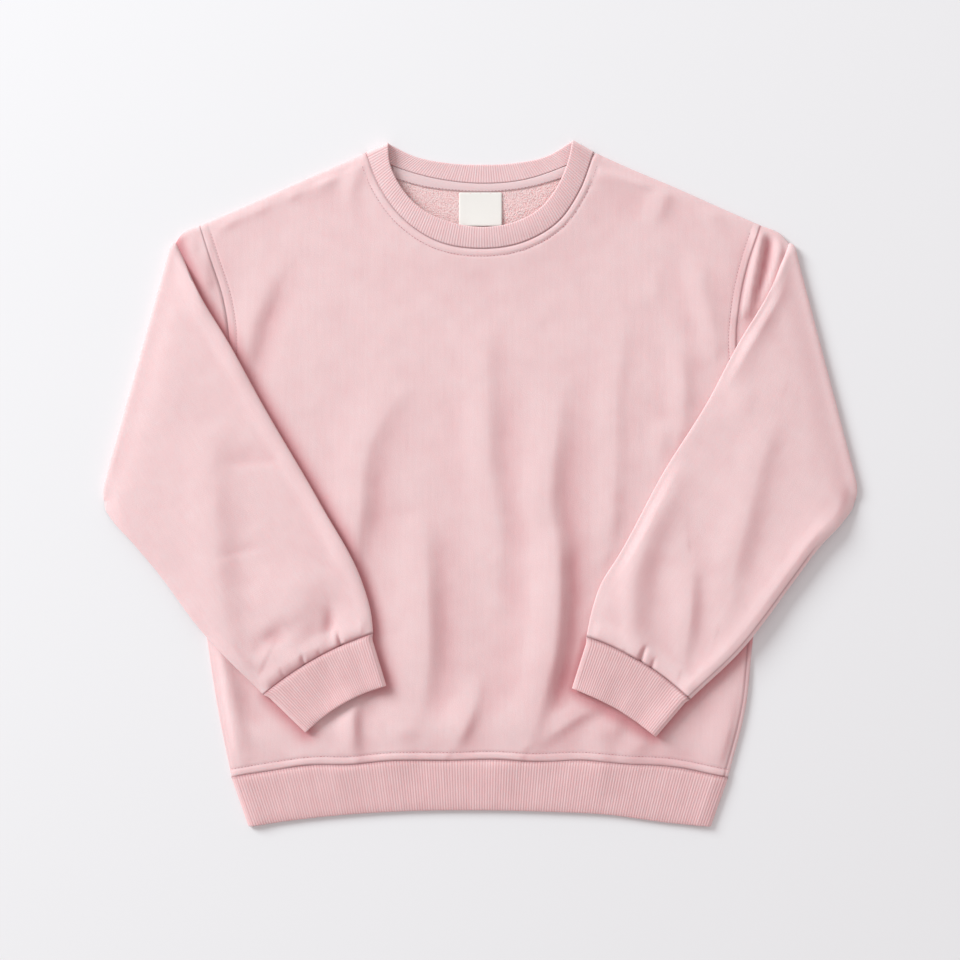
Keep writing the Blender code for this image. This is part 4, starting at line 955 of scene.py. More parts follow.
@dataclass(frozen=True)
class Ring:
    """How a flat tube is sampled round, from its first edge: over the front, then back behind."""

    layer: np.ndarray
    place: np.ndarray
    value: np.ndarray
    margin: float

    @classmethod
    def around(cls, front: np.ndarray, back: np.ndarray, steps: tuple[float, ...]) -> "Ring":
        """Columns at `steps` from both edges, and at these shares between them on each layer."""
        edge, out = np.zeros(1), np.array(steps)
        parts = (
            (0, Place.START, edge), (1, Place.START, out),
            (1, Place.MIDDLE, front), (1, Place.END, out[::-1]),
            (0, Place.END, edge), (-1, Place.END, out),
            (-1, Place.MIDDLE, back[::-1]), (-1, Place.START, out[::-1]),
        )
        layer = np.concatenate([np.full(len(values), layer, float) for layer, _, values in parts])
        place = np.concatenate([np.full(len(values), place.value) for _, place, values in parts])
        return cls(layer, place, np.concatenate([values for _, _, values in parts]), steps[-1])

    def shares(self, start_slope: np.ndarray, end_slope: np.ndarray) -> np.ndarray:
        """Share across each ring of each column, from how fast distance grows from either edge."""
        start, end = np.asarray(start_slope)[:, None], np.asarray(end_slope)[:, None]
        first, last = self.margin / start, 1 - self.margin / end
        middle = first + self.value * (last - first)
        near_start = self.place == Place.START.value
        near_end = self.place == Place.END.value
        return np.where(near_start, self.value / start, np.where(near_end, 1 - self.value / end, middle))

    def on(self, layer: int) -> np.ndarray:
        """Which columns lie on a layer between the rolls."""
        return (self.layer == layer) & (self.place == Place.MIDDLE.value)


def round_direction(plan: Points, layer: np.ndarray) -> Points:
    """The direction in plan of each ring at each column, midway between its layers' at an outer edge."""
    direction = np.gradient(plan, axis=1)
    for edge in np.flatnonzero(layer == 0):
        near = [plan[:, edge + step] - plan[:, edge] for step in (-2, 2)]
        direction[:, edge] = unit(near[0]) + unit(near[1])
    return direction


# ---- finishes ----


def linear(colour: str) -> Colour:
    """The linear colour of an sRGB hex code."""
    parts = [int(colour[i : i + 2], 16) / 255 for i in (1, 3, 5)]
    flat = [c / 12.92 if c <= 0.04045 else ((c + 0.055) / 1.055) ** 2.4 for c in parts]
    return (flat[0], flat[1], flat[2], 1.0)


def add_node(tree: Tree, kind: str, inputs: dict | None = None, **settings: object) -> bpy.types.Node:
    """Adds a shader node.

    Args:
        tree: The material's node tree.
        kind: The node's type, without "ShaderNode".
        inputs: Input names or numbers, each with a value or the output socket to link to it.
        settings: The node's own properties.

    Returns:
        The node.
    """
    node = tree.nodes.new("ShaderNode" + kind)
    for key, value in settings.items():
        setattr(node, key, value)
    for key, value in (inputs or {}).items():
        fill(tree, node.inputs[key], value)
    return node


def fill(tree: Tree, socket: Socket, value: object) -> None:
    """Links an output socket to this input, or sets the value there."""
    if isinstance(value, bpy.types.NodeSocket):
        tree.links.new(value, socket)
    else:
        socket.default_value = value


def mark_on(tree: Tree, name: str) -> Socket:
    """The number that a mesh keeps for each point under this name."""
    return add_node(tree, "Attribute", attribute_name=name).outputs["Fac"]


def cloth_place(tree: Tree) -> Socket:
    """Each point's place on the flat cloth, in millimetres."""
    return add_node(tree, "Attribute", attribute_name="cloth").outputs["Vector"]


def noise(tree: Tree, place: Socket, scale: float, detail: float) -> Socket:
    """Soft noise from 0 to 1 with this many cells to a unit of the place."""
    return add_node(tree, "TexNoise", {"Vector": place, "Scale": scale, "Detail": detail}).outputs[0]


def waves(tree: Tree, place: Socket, axis: str, pitch: float) -> Socket:
    """Bands that repeat every `pitch` millimetres along an axis of the flat cloth."""
    inputs = {"Vector": place, "Scale": WAVE_TURN / pitch, "Distortion": 0.6, "Detail": 1.0}
    return add_node(tree, "TexWave", inputs, bands_direction=axis).outputs["Fac"]


def maths(tree: Tree, operation: str, a: Socket | float, b: Socket | float, clamp: bool = False) -> Socket:
    """The result of a sum on two numbers or sockets."""
    return add_node(tree, "Math", {0: a, 1: b}, operation=operation, use_clamp=clamp).outputs[0]


def weighted(tree: Tree, start: float, *terms: tuple[Socket, float]) -> Socket:
    """A number plus each socket times its weight, kept from 0 to 1 at the end."""
    total = start
    for socket, weight in terms:
        node = add_node(tree, "Math", {0: socket, 1: weight, 2: total}, operation="MULTIPLY_ADD")
        total = node.outputs[0]
    node.use_clamp = True
    return total


def blended(tree: Tree, first: Colour | Socket, second: Colour | Socket, share: Socket) -> Socket:
    """Two colours, or sockets, of which the second shows more as the share rises."""
    node = add_node(tree, "Mix", data_type="RGBA")
    for key, value in {"A": first, "B": second, "Factor": share}.items():
        fill(tree, next(s for s in node.inputs if s.name == key and s.enabled), value)
    return next(s for s in node.outputs if s.enabled)


def bumped(tree: Tree, shader: bpy.types.Node, height: Socket, distance: float = MM,
           **settings: bool) -> None:
    """Makes the shader look as uneven as this height says."""
    bump = add_node(tree, "Bump", {"Height": height, "Distance": distance, "Strength": 1.0}, **settings)
    tree.links.new(bump.outputs[0], shader.inputs["Normal"])


WAVE_TURN = 0.314159  # Blender's band texture repeats over this length at a scale of 1


@dataclass(frozen=True)
class Finish:
    """A material with one shader, for which each kind of cloth works out its own colour and unevenness."""

    name: str
    base: str
    deep: str
    roughness: float = 0.92
    sheen: float = 0.1
    sheen_roughness: float = 0.6
    specular: float = 0.25
    glow: float = 0.25
    glow_reach: tuple[float, float, float] = (1.0, 0.45, 0.42)
    glow_scale: float = 0.003

    def material(self) -> bpy.types.Material:
        """The material, made the first time that it is asked for."""
        found = bpy.data.materials.get(self.name)
        if found:
            return found
        made = bpy.data.materials.new(self.name)
        made.use_nodes = True
        made.diffuse_color = linear(self.base)
        tree = made.node_tree
        shader = tree.nodes["Principled BSDF"]
        constants = {
            "Roughness": self.roughness,
            "Specular IOR Level": self.specular,
            "Sheen Weight": self.sheen,
            "Sheen Roughness": self.sheen_roughness,
            "Sheen Tint": linear(self.base),
            "Subsurface Weight": self.glow,
            "Subsurface Radius": self.glow_reach,
            "Subsurface Scale": self.glow_scale,
        }
        for key, value in constants.items():
            shader.inputs[key].default_value = value
        fill(tree, shader.inputs["Base Color"], self.colour(tree, shader))
        return made

    def colour(self, tree: Tree, shader: bpy.types.Node) -> Colour | Socket:
        """Plain cloth: only the base colour."""
        return linear(self.base)

    def mixed(self, tree: Tree, share: Socket) -> Socket:
        """The base colour, going over to the deep one as the share rises."""
        return blended(tree, linear(self.base), linear(self.deep), share)


@dataclass(frozen=True)
class Knit(Finish):
    """Knitted cloth: columns and courses of stitches under a short nap, with painted shade along its seams.

    The eye gets faint vertical wales close up, a soft mottle from afar and a brown-rose painted shade in each
    ditch.
    """

    wale: float = 1.15
    course: float = 0.85
    nap: float = 1.1
    knit_bump: float = 0.05
    nap_bump: float = 0.16
    depth: float = 0.12
    mottle: float = 0.17
    blotch_scale: float = 0.045
    streak: float = 0.1
    streak_scale: tuple[float, float, float] = (0.45, 0.035, 1.0)
    hollow_shade_share: float = 0.75
    groove_shade_share: float = 0.0
    # colour of the painted shade in the seams' ditches and stitched grooves
    seam: str = "#9A666B"
    seam_shade_share: float = 0.7

    def colour(self, tree: Tree, shader: bpy.types.Node) -> Socket:
        """Waves across and along the cloth for the stitches, and noise at three scales for the nap, over
        the painted shade of the hollows and lee slopes, the ribs' grooves and the seams' ditches."""
        cloth = cloth_place(tree)
        wales, courses = waves(tree, cloth, "X", self.wale), waves(tree, cloth, "Y", self.course)
        stitches = maths(tree, "MULTIPLY", wales, maths(tree, "ADD", courses, 0.6))
        nap = noise(tree, cloth, 1 / self.nap, 4.0)
        blotch = noise(tree, cloth, self.blotch_scale, 3.0)
        stretched = add_node(tree, "Mapping", {"Vector": cloth, "Scale": self.streak_scale}).outputs[0]
        streak = noise(tree, stretched, 1.0, 2.0)
        bumped(tree, shader, weighted(tree, 0.0, (stitches, self.knit_bump), (nap, self.nap_bump)))
        # share of the deep colour: random mottle and streaks, plus painted shade in hollows, on lee slopes
        # and in rib grooves
        share = weighted(
            tree, self.depth - self.mottle - self.streak / 2 + self.groove_shade_share,
            (nap, self.mottle), (blotch, self.mottle), (streak, self.streak),
            (mark_on(tree, Mark.HOLLOW.value), self.hollow_shade_share),
            # painted shade in the ribs' grooves
            (mark_on(tree, Mark.RIDGE.value), -self.groove_shade_share),
        )
        # painted shade in the seams' ditches and stitched grooves
        line = weighted(tree, 0.0, (mark_on(tree, Mark.SEAM.value), self.seam_shade_share))
        return blended(tree, self.mixed(tree, share), linear(self.seam), line)


@dataclass(frozen=True)
class LoopTerry(Finish):
    """The looped inside of the fleece: dense little loops that catch light, with rosy gaps between them."""

    loop: float = 1.5
    bump: float = 0.0006

    def colour(self, tree: Tree, shader: bpy.types.Node) -> Socket:
        """Cells of a Voronoi pattern for the loops, broken up by noise."""
        cloth = cloth_place(tree)
        inputs = {"Vector": cloth, "Scale": 1 / self.loop, "Randomness": 0.9}
        cells = add_node(tree, "TexVoronoi", inputs).outputs["Distance"]
        gaps = maths(tree, "MULTIPLY", cells, maths(tree, "MULTIPLY", noise(tree, cloth, 0.8, 3.0), 2.0))
        bumped(tree, shader, gaps, self.bump, invert=True)
        return self.mixed(tree, maths(tree, "POWER", gaps, 1.4, True))


@dataclass(frozen=True)
class Woven(Finish):
    """A tightly woven tape or label: a fine grid of threads with a slight satin sheen."""

    thread: float = 0.55
    bump: float = 0.12

    def colour(self, tree: Tree, shader: bpy.types.Node) -> Socket:
        """Two crossing sets of bands, the higher of which shows at each place."""
        cloth = cloth_place(tree)
        over = maths(tree, "MAXIMUM", *(waves(tree, cloth, axis, self.thread) for axis in "XY"))
        bumped(tree, shader, maths(tree, "MULTIPLY", over, self.bump))
        return self.mixed(tree, weighted(tree, 0.5, (over, -0.5)))


@dataclass(frozen=True)
class Paper(Finish):
    """A seamless paper floor: nearly white, with a grain too faint to see as a pattern."""

    def colour(self, tree: Tree, shader: bpy.types.Node) -> Socket:
        """Large soft noise between two near whites."""
        place = add_node(tree, "TexCoord").outputs["Object"]
        return self.mixed(tree, noise(tree, place, 1.5, 2.0))


FLEECE = Knit("cotton_fleece_face", base="#F2D4D4", deep="#C87C82")
TERRY = LoopTerry("cotton_loop_terry", base="#FBDFDD", deep="#E6B4B4")
# the same rib knit as the collar's, made darker with painted shade and deeper painted groove shade for the
# hem band and cuffs, which lie lower in shade
SHADED_RIB = Knit("cotton_rib_knit_shaded", base="#EFCDCD", deep="#B8747A", wale=0.85, nap_bump=0.1, mottle=0.16,
           groove_shade_share=0.42)
COLLAR_RIB = Knit("cotton_collar_rib", base="#F3D6D6", deep="#BF7D83", wale=0.85, nap_bump=0.1,
                  mottle=0.16, groove_shade_share=0.32)
TAPE = Woven("herringbone_tape", base="#F0D3D3", deep="#D8A8AC", thread=0.9, sheen=0.1)
LABEL = Woven("woven_label", base="#F7F5F0", deep="#E4DED4", roughness=0.7, sheen=0.1, glow=0.0)
# deeper than the fleece: the thread's rose, darkened with painted shade of the groove it is pulled into
THREAD = Finish("sewing_thread", base="#B9767E", deep="#B9767E", roughness=0.6, sheen=0.2, glow=0.0)
LABEL_THREAD = Finish("label_thread", base="#E3A9AE", deep="#E3A9AE", roughness=0.6, glow=0.0)
FLOOR = Paper("studio_paper", base="#EDEDEE", deep="#EBEBEC", roughness=0.95, sheen=0.0,
              specular=0.1, glow=0.0)


# ---- front and back ----

@dataclass
class Panel:
    """The body's front or back: a wall over a grid that blends between the panel's four sides."""

    pattern: Pattern
    lie: BodyLie
    underarm: float = 0.545
    neck_span: tuple[float, float] = (0.29, 0.71)
    band: SewnBand = field(default_factory=SewnBand)
    neck_band: SewnBand = field(default_factory=lambda: SewnBand(stitch_at=7.5, ditch=0.35, ridge=0.6))
    edge_shares: tuple[float, ...] = (0.0, 0.0003, 0.001, 0.002, 0.0034)
    fine_share: float = 0.0019
    fine_steps: int = 12

    def spaced(self, middle: int) -> np.ndarray:
        """Shares from 0 to 1: close together through both rolls and sewn bands, even between them."""
        start = np.array(self.edge_shares)
        start = np.concatenate([start, start[-1] + self.fine_share * np.arange(1, self.fine_steps + 1)])
        inner = start[-1] + (1 - 2 * start[-1]) * evenly(middle)
        return np.concatenate([start, inner, 1 - start[::-1]])

    def grid(self, neck: Points, across: np.ndarray, up: np.ndarray) -> Points:
        """Plan points blended from the four sides: each pair's blend, less that of the corners."""
        left, right = LEFT.lines["shoulder"][::-1], RIGHT.lines["shoulder"]
        path = np.vstack([left, neck[1:-1], right])
        first, last = length_of(left) / length_of(path), 1 - length_of(right) / length_of(path)
        upper = along(path, np.interp(across, (0, *self.neck_span, 1), (0, first, last, 1)))
        lower = along(self.pattern.hem, across)
        west, east = (self.side_points(side, up)[:, None] for side in self.pattern.sides)
        u, v = across[None, :, None], up[:, None, None]
        below, above = (1 - u) * lower[0] + u * lower[-1], (1 - u) * upper[0] + u * upper[-1]
        corners = (1 - v) * below + v * above
        return (1 - v) * lower + v * upper + (1 - u) * west + u * east - corners

    def side_points(self, side: Side, up: np.ndarray) -> Points:
        """A panel's side from the hem up: the side seam, then the armhole."""
        seam = along(side.lines["side_seam"], np.clip(up / self.underarm, 0, 1))
        armhole = along(side.lines["armhole"], np.clip((up - self.underarm) / (1 - self.underarm), 0, 1))
        return np.where((up > self.underarm)[:, None], armhole, seam)

    def sewn(self, across: np.ndarray, up: np.ndarray) -> tuple[tuple, ...]:
        """The panel's hem, neck and armholes: where each lies in the grid, which of its points are on a
        seam with another piece, and whether the cloth is on its left (1) or on its right (-1)."""
        low, high = self.neck_span
        neck = (across > low - TOUCH) & (across < high + TOUCH)
        armhole = up > self.underarm - TOUCH
        ends = (np.s_[0], np.ones(len(across), bool), 1), (np.s_[-1], neck, -1)
        return *ends, (np.s_[:, 0], armhole, -1), (np.s_[:, -1], armhole, 1)

    def walls(self, plan: Points, across: np.ndarray, up: np.ndarray, relief: np.ndarray,
              sign: float) -> tuple[np.ndarray, np.ndarray]:
        """Outer and inner grids: the front's middle at the height of the cloth, the back's flat, and both
        meeting in a roll at the outer edge, where the normals turn outwards.

        Args:
            plan: The plan grid.
            across: Share across the panel of each column.
            up: Share up the panel of each row.
            relief: Height added to the middle of the wall.
            sign: 1 for the front, -1 for the back.

        Returns:
            The outer and the inner grid.
        """
        edge, out = self.pattern.edge_distance(plan)
        front, back = self.lie.front.at(plan), LIE.wall / 2
        lift = LIE.rolled(edge, LIE.reach(sign > 0))
        centre, half = (front + back) / 2, (front - back) / 2 - LIE.seam_gap / 2
        height = centre + sign * (LIE.seam_gap / 2 + half * lift) + relief * lift
        rise = np.stack([-self.lie.slope_x.at(plan), -self.lie.slope_y.at(plan)], axis=-1)
        rise = rise * lift[..., None] * max(sign, 0.0)
        tilt = np.sqrt(np.maximum(0, 1 - lift**2))[..., None]
        normals = unit(np.concatenate([out * tilt + rise, sign * lift[..., None]], axis=-1))
        moved = plan.copy()
        for line, on, inward in self.sewn(across, up):
            seam = np.gradient(plan[line], axis=0)
            side = inward * unit(np.stack([-seam[:, 1], seam[:, 0]], axis=-1))
            within = (on & np.roll(on, 1) & np.roll(on, -1))[:, None]
            normals[line] = np.where(within, curtained(normals[line], seam), normals[line])
            moved[line] += LIE.butt_gap * side * on[:, None]
        middle = np.concatenate([moved, height[..., None]], axis=-1)
        outer, inner = middle + normals * LIE.wall / 2, middle - normals * LIE.wall / 2
        outer[..., 2] = np.maximum(outer[..., 2], 0)
        return outer, inner


@dataclass
class FrontPanel(Panel):
    """The front, with sewn bands along its hem, neck and armholes and a ditch beside its side seams."""

    columns: int = 176
    rows: int = 168
    hem_unevenness: float = 0.55
    neck_least: float = 0.55
    neck_turn: tuple[float, float] = (-60.0, 60.0)
    lee_shadow_share: float = 0.9
    lee_shadow_reach: float = 11.0
    right_shadow_share: float = 0.2
    right_shadow_reach: float = 42.0

    def build(self) -> Shell:
        """The front's shell."""
        across, up = self.spaced(self.columns), self.spaced(self.rows)
        plan = self.grid(self.pattern.neck, across, up)
        hem, neck = nearest(plan, self.pattern.hem)[0], nearest(plan, self.pattern.neck)[0]
        start, end = self.neck_turn
        turned = self.neck_least + (1 - self.neck_least) * ease((plan[..., 0] - start) / (end - start))
        drawn = 1 + self.hem_unevenness * wander(plan, cell=26.0, seed=21)
        relief = self.band.relief(hem) * drawn + self.neck_band.relief(neck) * turned
        # painted shade in the ditches and stitched grooves of the hem, neck and armhole seams, and beside the
        # side seams
        seam = np.maximum(self.band.mark(hem) * drawn, self.neck_band.mark(neck) * turned)
        for side in self.pattern.sides:
            armhole = nearest(plan, side.lines["armhole"])[0]
            off_seam = nearest(plan, side.lines["side_seam"])[0] - side.seam_inset
            band = self.band.scaled(*side.band_shares)
            relief += band.relief(armhole) - side.seam_depth * bell(off_seam, band.groove_width)
            shade = band.ditch_shade * side.seam_depth * bell(off_seam, band.ditch_shade_width)
            seam = np.maximum(seam, np.maximum(band.mark(armhole), shade))
        outer, inner = self.walls(plan, across, up, relief, 1.0)
        # painted shadow beside the sleeves' and cuffs' edges away from the light, and below the right sleeve,
        # over the painted shade of hollows and lee slopes
        lee_shadow = self.lee_shadow_share * bell(self.pattern.lee_distance(plan), self.lee_shadow_reach)
        right_shadow = bell(self.pattern.right_shadow_distance(plan), self.right_shadow_reach)
        hollow = np.maximum(self.lie.hollow.at(plan) + self.right_shadow_share * right_shadow, lee_shadow)
        return Shell("front_cloth", outer, inner, False, plan, {"seam": seam, "hollow": hollow})


@dataclass
class BackPanel(Panel):
    """The back, flat on the surface, whose looped inside shows in the neck opening."""

    columns: int = 96
    rows: int = 90
    fine_steps: int = 3
    neck_shade_width: float = 1.3

    def build(self) -> Shell:
        """The back's shell."""
        across, up = self.spaced(self.columns), self.spaced(self.rows)
        plan = self.grid(self.pattern.back_neck, across, up)
        outer, inner = self.walls(plan, across, up, np.zeros(plan.shape[:2]), -1.0)
        # painted shade in the back neck seam
        seam = bell(nearest(plan, self.pattern.back_neck)[0], self.neck_shade_width)
        return Shell("back_cloth", outer, inner, False, plan, {"seam": seam})


# ---- tubes: sleeves, cuffs, hem and collar ----

EDGE_STEPS = (0.06, 0.2, 0.45, 0.8, 1.25, 2.0)


def resting(lie: BodyLie, plan: Points, layer: np.ndarray, edge: np.ndarray, wall: float,
            depths: tuple[float, np.ndarray], folds: np.ndarray, reach: float = 5.5) -> np.ndarray:
    """Height of a folded tube's middle: its front layer lies on what is below, its back layer on top.

    Args:
        lie: The heights below.
        plan: The tube's plan grid.
        layer: The layer of each column.
        edge: Distance in from the tube's own edges.
        wall: The cloth's thickness.
        depths: From one layer's middle to the other's, where it lies flat and beside its edges.
        folds: Height that the folds add to the upper layer.
        reach: How far in the upper layer's edges are rounded.

    Returns:
        The height of each point.
    """
    under = lie.bed.at(plan) + wall / 2
    spread = LIE.crowned(edge, *depths) + folds * ease((edge - LIE.roll) / LIE.fold_fade)
    spread = np.maximum(spread, wall + LIE.seam_gap)
    return under + spread / 2 * (1 - layer * LIE.rolled(edge, LIE.reach(layer < 0, reach)))


def bowed(shares: np.ndarray, span: Points, bulge: np.ndarray, towards: Points) -> Points:
    """How far each point of some rings is moved in plan for them to bow out by `bulge` at the middle."""
    across = unit(np.stack([-span[:, 1], span[:, 0]], axis=-1))
    across = across * np.sign((across * towards).sum(-1, keepdims=True))
    return (bulge[:, None] * 4 * shares * (1 - shares))[..., None] * across[:, None]


def slopes_of(plan: Points, height: np.ndarray, least_area: float = 0.05) -> tuple[np.ndarray, np.ndarray]:
    """A grid's slopes along X and Y: those along its rows and columns, turned by the inverse of the
    plan's own.

    Args:
        plan: The plan grid.
        height: The height of each point.
        least_area: What a thinner cell's area is taken for, so that its slope stays finite.

    Returns:
        The slope along X and the slope along Y.
    """
    rows, columns = (np.gradient(plan, axis=axis) for axis in (0, 1))
    along_rows, along_columns = (np.gradient(height, axis=axis) for axis in (0, 1))
    area = cross(rows, columns)
    area = np.where(np.abs(area) < least_area, least_area, area)
    slope_x = (along_rows * columns[..., 1] - along_columns * rows[..., 1]) / area
    slope_y = (along_columns * rows[..., 0] - along_rows * columns[..., 0]) / area
    return slope_x, slope_y


@dataclass
class Sleeve:
    """A flat tube from the armhole out, turned over a slanting line and folded back over the body.

    Each ring crosses the sleeve from its top edge to its bottom edge. Past the fold line the rings bend
    round an axis above it through half a turn, and then settle on the cloth below.
    """

    side: Side
    lie: BodyLie
    root: int = 20
    wrap: int = 14
    folded: int = 128
    front_columns: int = 56
    back_columns: int = 92
    fold_axis: float = 5.0
    fold_room: float = 0.4
    fold_push: float = 0.8
    settle: float = 46.0
    depth: float = 3.6
    fold_start: float = 20.0
    least_slope: float = 0.55
    ripple: tuple[float, float] = (0.25, 0.1)
    cuff_puff: float = 1.5
    puff_at: float = 9.0
    puff_width: float = 8.0
    drawn_in: float = 0.9
    drawn_width: float = 2.0
    dome_rise: float = 0.55
    dome_reach: tuple[float, float] = (5.0, 30.0)
    corner_reach: tuple[float, float] = (8.0, 46.0)
    corner_settle: float = 30.0
    edge_reach: float = 11.0
    elbow_reach: float = 22.0
    elbow_fade: float = 26.0
    elbow_round: float = 16.0
    long_seam_from: float = 0.2
    long_seam_ease: float = 0.12
    long_seam_at: float = 3.4
    long_seam_shade: float = 0.7
    shade_width: float = 0.9
    cuff_shade: float = 0.8
    shade_ease: float = 12.0
    lee_shadow_reach: float = 9.0
    shade_passes: int = 30
    steps: tuple[float, ...] = (*EDGE_STEPS, 2.8, 3.6, 4.4, 5.4, 7.0, 9.5)

    def build(self) -> Shell:
        """The sleeve's shell."""
        side, lines = self.side, self.side.lines
        ring = Ring.around(evenly(self.front_columns), evenly(self.back_columns), self.steps)
        k = np.arange(self.root + self.wrap + self.folded + 1)
        in_root = np.clip(k / self.root, 0, 1)
        in_fold = np.clip((k - self.root - self.wrap) / self.folded, 0, 1)
        angle = np.pi * np.clip((k - self.root) / self.wrap, 0, 1)[:, None]
        is_root, is_folded = (k <= self.root)[:, None], (k > self.root + self.wrap)[:, None]
        roots = (lines["root_top"], lines["root_bottom"])
        folds = (lines["inner_edge"], lines["outer_edge"])
        cuffs = (lines["cuff_inner"][1:], lines["cuff_outer"][1:])
        top, bottom = (
            np.where(is_root, along(near, in_root), along(far, in_fold)) for near, far in zip(roots, folds)
        )
        span = bottom - top
        width = np.linalg.norm(span, axis=1)[:, None]
        slopes = [
            np.abs(cross(span, unit(np.where(is_root, line[-1] - line[0], self.tangents(points)))))
            for line, points in zip(roots, (top, bottom))
        ]
        shares = ring.shares(*(np.maximum(slope, self.least_slope * width[:, 0]) for slope in slopes))
        armhole = lines["armhole"][::-1]
        curve = along(armhole, shares) - (armhole[0] + shares[..., None] * (armhole[-1] - armhole[0]))
        plan = top[:, None] + shares[..., None] * span[:, None] + (1 - in_root)[:, None, None] * curve
        plan += bowed(shares, span, side.seam_bulge * in_fold**2, folds[0][0] - folds[0][-1])
        line = unit(bottom[self.root] - top[self.root])
        out = np.array([-line[1], line[0]])
        out = out * np.sign(out[0] * side.outward)
        past_fold = [
            np.vstack([fold[0] + self.settle * out, fold, cuff]) for fold, cuff in zip(folds, cuffs)
        ]
        root_gaps = [nearest(plan, extended(line))[0] for line in roots]
        fold_gaps = [nearest(plan, line)[0] for line in past_fold]
        edge = np.where(is_root, np.minimum(*root_gaps), np.minimum(*fold_gaps)) * (ring.layer != 0)
        outside = ((plan - top[self.root]) * out).sum(-1)
        past = np.maximum(0, -outside) * is_folded
        to_cuff = nearest(plan, plan[-1])[0]
        elbow = bell(outside, self.elbow_fade) * ease(4 * shares - 2)
        near_top, near_bottom = self.corner_reach
        corner = LIE.rolled(shares * width, near_top) * LIE.rolled((1 - shares) * width, near_bottom)
        bent, radius = self.bent(self.lie.front.at(plan), ring.layer, edge, elbow, corner, angle, past)
        long_seam = side.long_seam * ease((in_fold - self.long_seam_from) / self.long_seam_ease)[:, None]
        off_seam = fold_gaps[1] - self.long_seam_at
        relief = self.relief(plan, past, to_cuff) - long_seam * bell(off_seam, self.shade_width)
        depths = (self.depth, side.edge_depths(shares))
        rest = resting(self.lie, plan, ring.layer, edge, LIE.wall, depths, relief, self.edge_reach)
        settle = self.corner_settle + (self.settle - self.corner_settle) * corner
        share = ease(past / settle) * is_folded
        height = (1 - share) * bent + share * rest
        push = (radius + self.fold_push * ease(shares) * corner) * np.sin(angle)
        push = push * LIE.rolled((1 - shares) * width, self.elbow_round)
        shifted = plan + push[..., None] * out
        middle = np.concatenate([shifted, height[..., None]], axis=-1)
        outer, inner = tube_walls(middle, ring, round_direction(plan, ring.layer), LIE.wall)
        # painted shade at the cuff seam, along the long seam and at the armhole
        seam = self.cuff_shade * bell(to_cuff, self.shade_width) * is_folded
        seam = seam + long_seam * bell(off_seam, self.long_seam_shade)
        at_armhole = side.band_shares[1] * bell(nearest(plan, lines["armhole"])[0], self.shade_width)
        seam = np.maximum(seam, np.minimum(at_armhole, 1) * is_root)
        run = unit(folds[0][-1] + folds[1][-1] - folds[0][0] - folds[1][0])
        cloth = np.stack([cross(run, plan), plan @ run], axis=-1)
        at_root, at_folds = self.painted_shade_depths(plan, middle, edge, past)
        hollow = at_folds * is_folded * (ring.layer < 0) + at_root * is_root * (ring.layer > 0)
        marks = {"seam": seam, "hollow": hollow}
        return Shell(f"sleeve_{side.name}_cloth", outer, inner, True, cloth, marks)

    def bent(self, front: np.ndarray, layer: np.ndarray, edge: np.ndarray, elbow: np.ndarray,
             corner: np.ndarray, angle: np.ndarray, past: np.ndarray) -> tuple[np.ndarray, np.ndarray]:
        """The height of the sleeve as its rings turn over the fold, before they settle.

        Args:
            front: The height of the front cloth's middle, which the sleeve carries on.
            layer: The layer of each column.
            edge: Distance in from the sleeve's own edges.
            elbow: 1 at the lower end of the fold, 0 away from it.
            corner: 0 at the ends of the fold, 1 between them.
            angle: How far each ring has turned.
            past: Distance in plan past the fold line.

        Returns:
            The height of each point, and how far it is from the axis that it turns round.
        """
        back = LIE.wall / 2
        rim, half = (front + back) / 2, (front - back) / 2
        flat = rim + layer * half * LIE.rolled(edge, self.rounder(LIE.reach(layer > 0), elbow))
        upper = rim + half * LIE.rolled(edge, self.rounder(LIE.reach(True), elbow))
        axis = np.maximum(rim + (self.fold_axis - rim) * corner, upper + self.fold_room * corner)
        radius = np.maximum(axis - flat, 0)
        is_over = angle > np.pi / 2
        inward = np.where(is_over, radius * (1 - np.sin(angle)) + past, 0)
        tight, wide = self.dome_reach
        dome = self.dome_rise * LIE.rolled(inward, tight) + (1 - self.dome_rise) * ease(inward / wide)
        return axis + radius * np.where(is_over, dome, -np.cos(angle)), radius

    def painted_shade_depths(self, plan: Points, middle: np.ndarray, edge: np.ndarray,
                past: np.ndarray) -> tuple[np.ndarray, np.ndarray]:
        """How deep the painted shade is, by the armhole and on the folded part.

        Args:
            plan: The plan grid.
            middle: The middle of the wall.
            edge: Distance in from the sleeve's own edges.
            past: Distance in plan past the fold line.

        Returns:
            The painted shade by the armhole, where the front's painted shade and shadow go on, and the folded
            part's own.
        """
        # painted shadow of the sleeves' lee edges, laid on the sleeve's root by the armhole
        lee_shadow = bell(self.lie.pattern.lee_distance(plan), self.lee_shadow_reach)
        flat, height = middle[..., :2], middle[..., 2]
        # painted shade on the lee of the folded sleeve's folds and in its hollows
        closed = PAINTED_SHADING.closed(*slopes_of(flat, height)) * ease(past / self.shade_ease)
        deep = PAINTED_SHADING.depth(height, closed, edge, self.shade_passes)
        return np.maximum(self.lie.hollow.at(plan), lee_shadow), deep

    def rounder(self, reach: np.ndarray, elbow: np.ndarray) -> np.ndarray:
        """An edge's reach, wider at the elbow, so that the fold's end comes round in a soft corner."""
        return reach + (self.elbow_reach - reach) * elbow

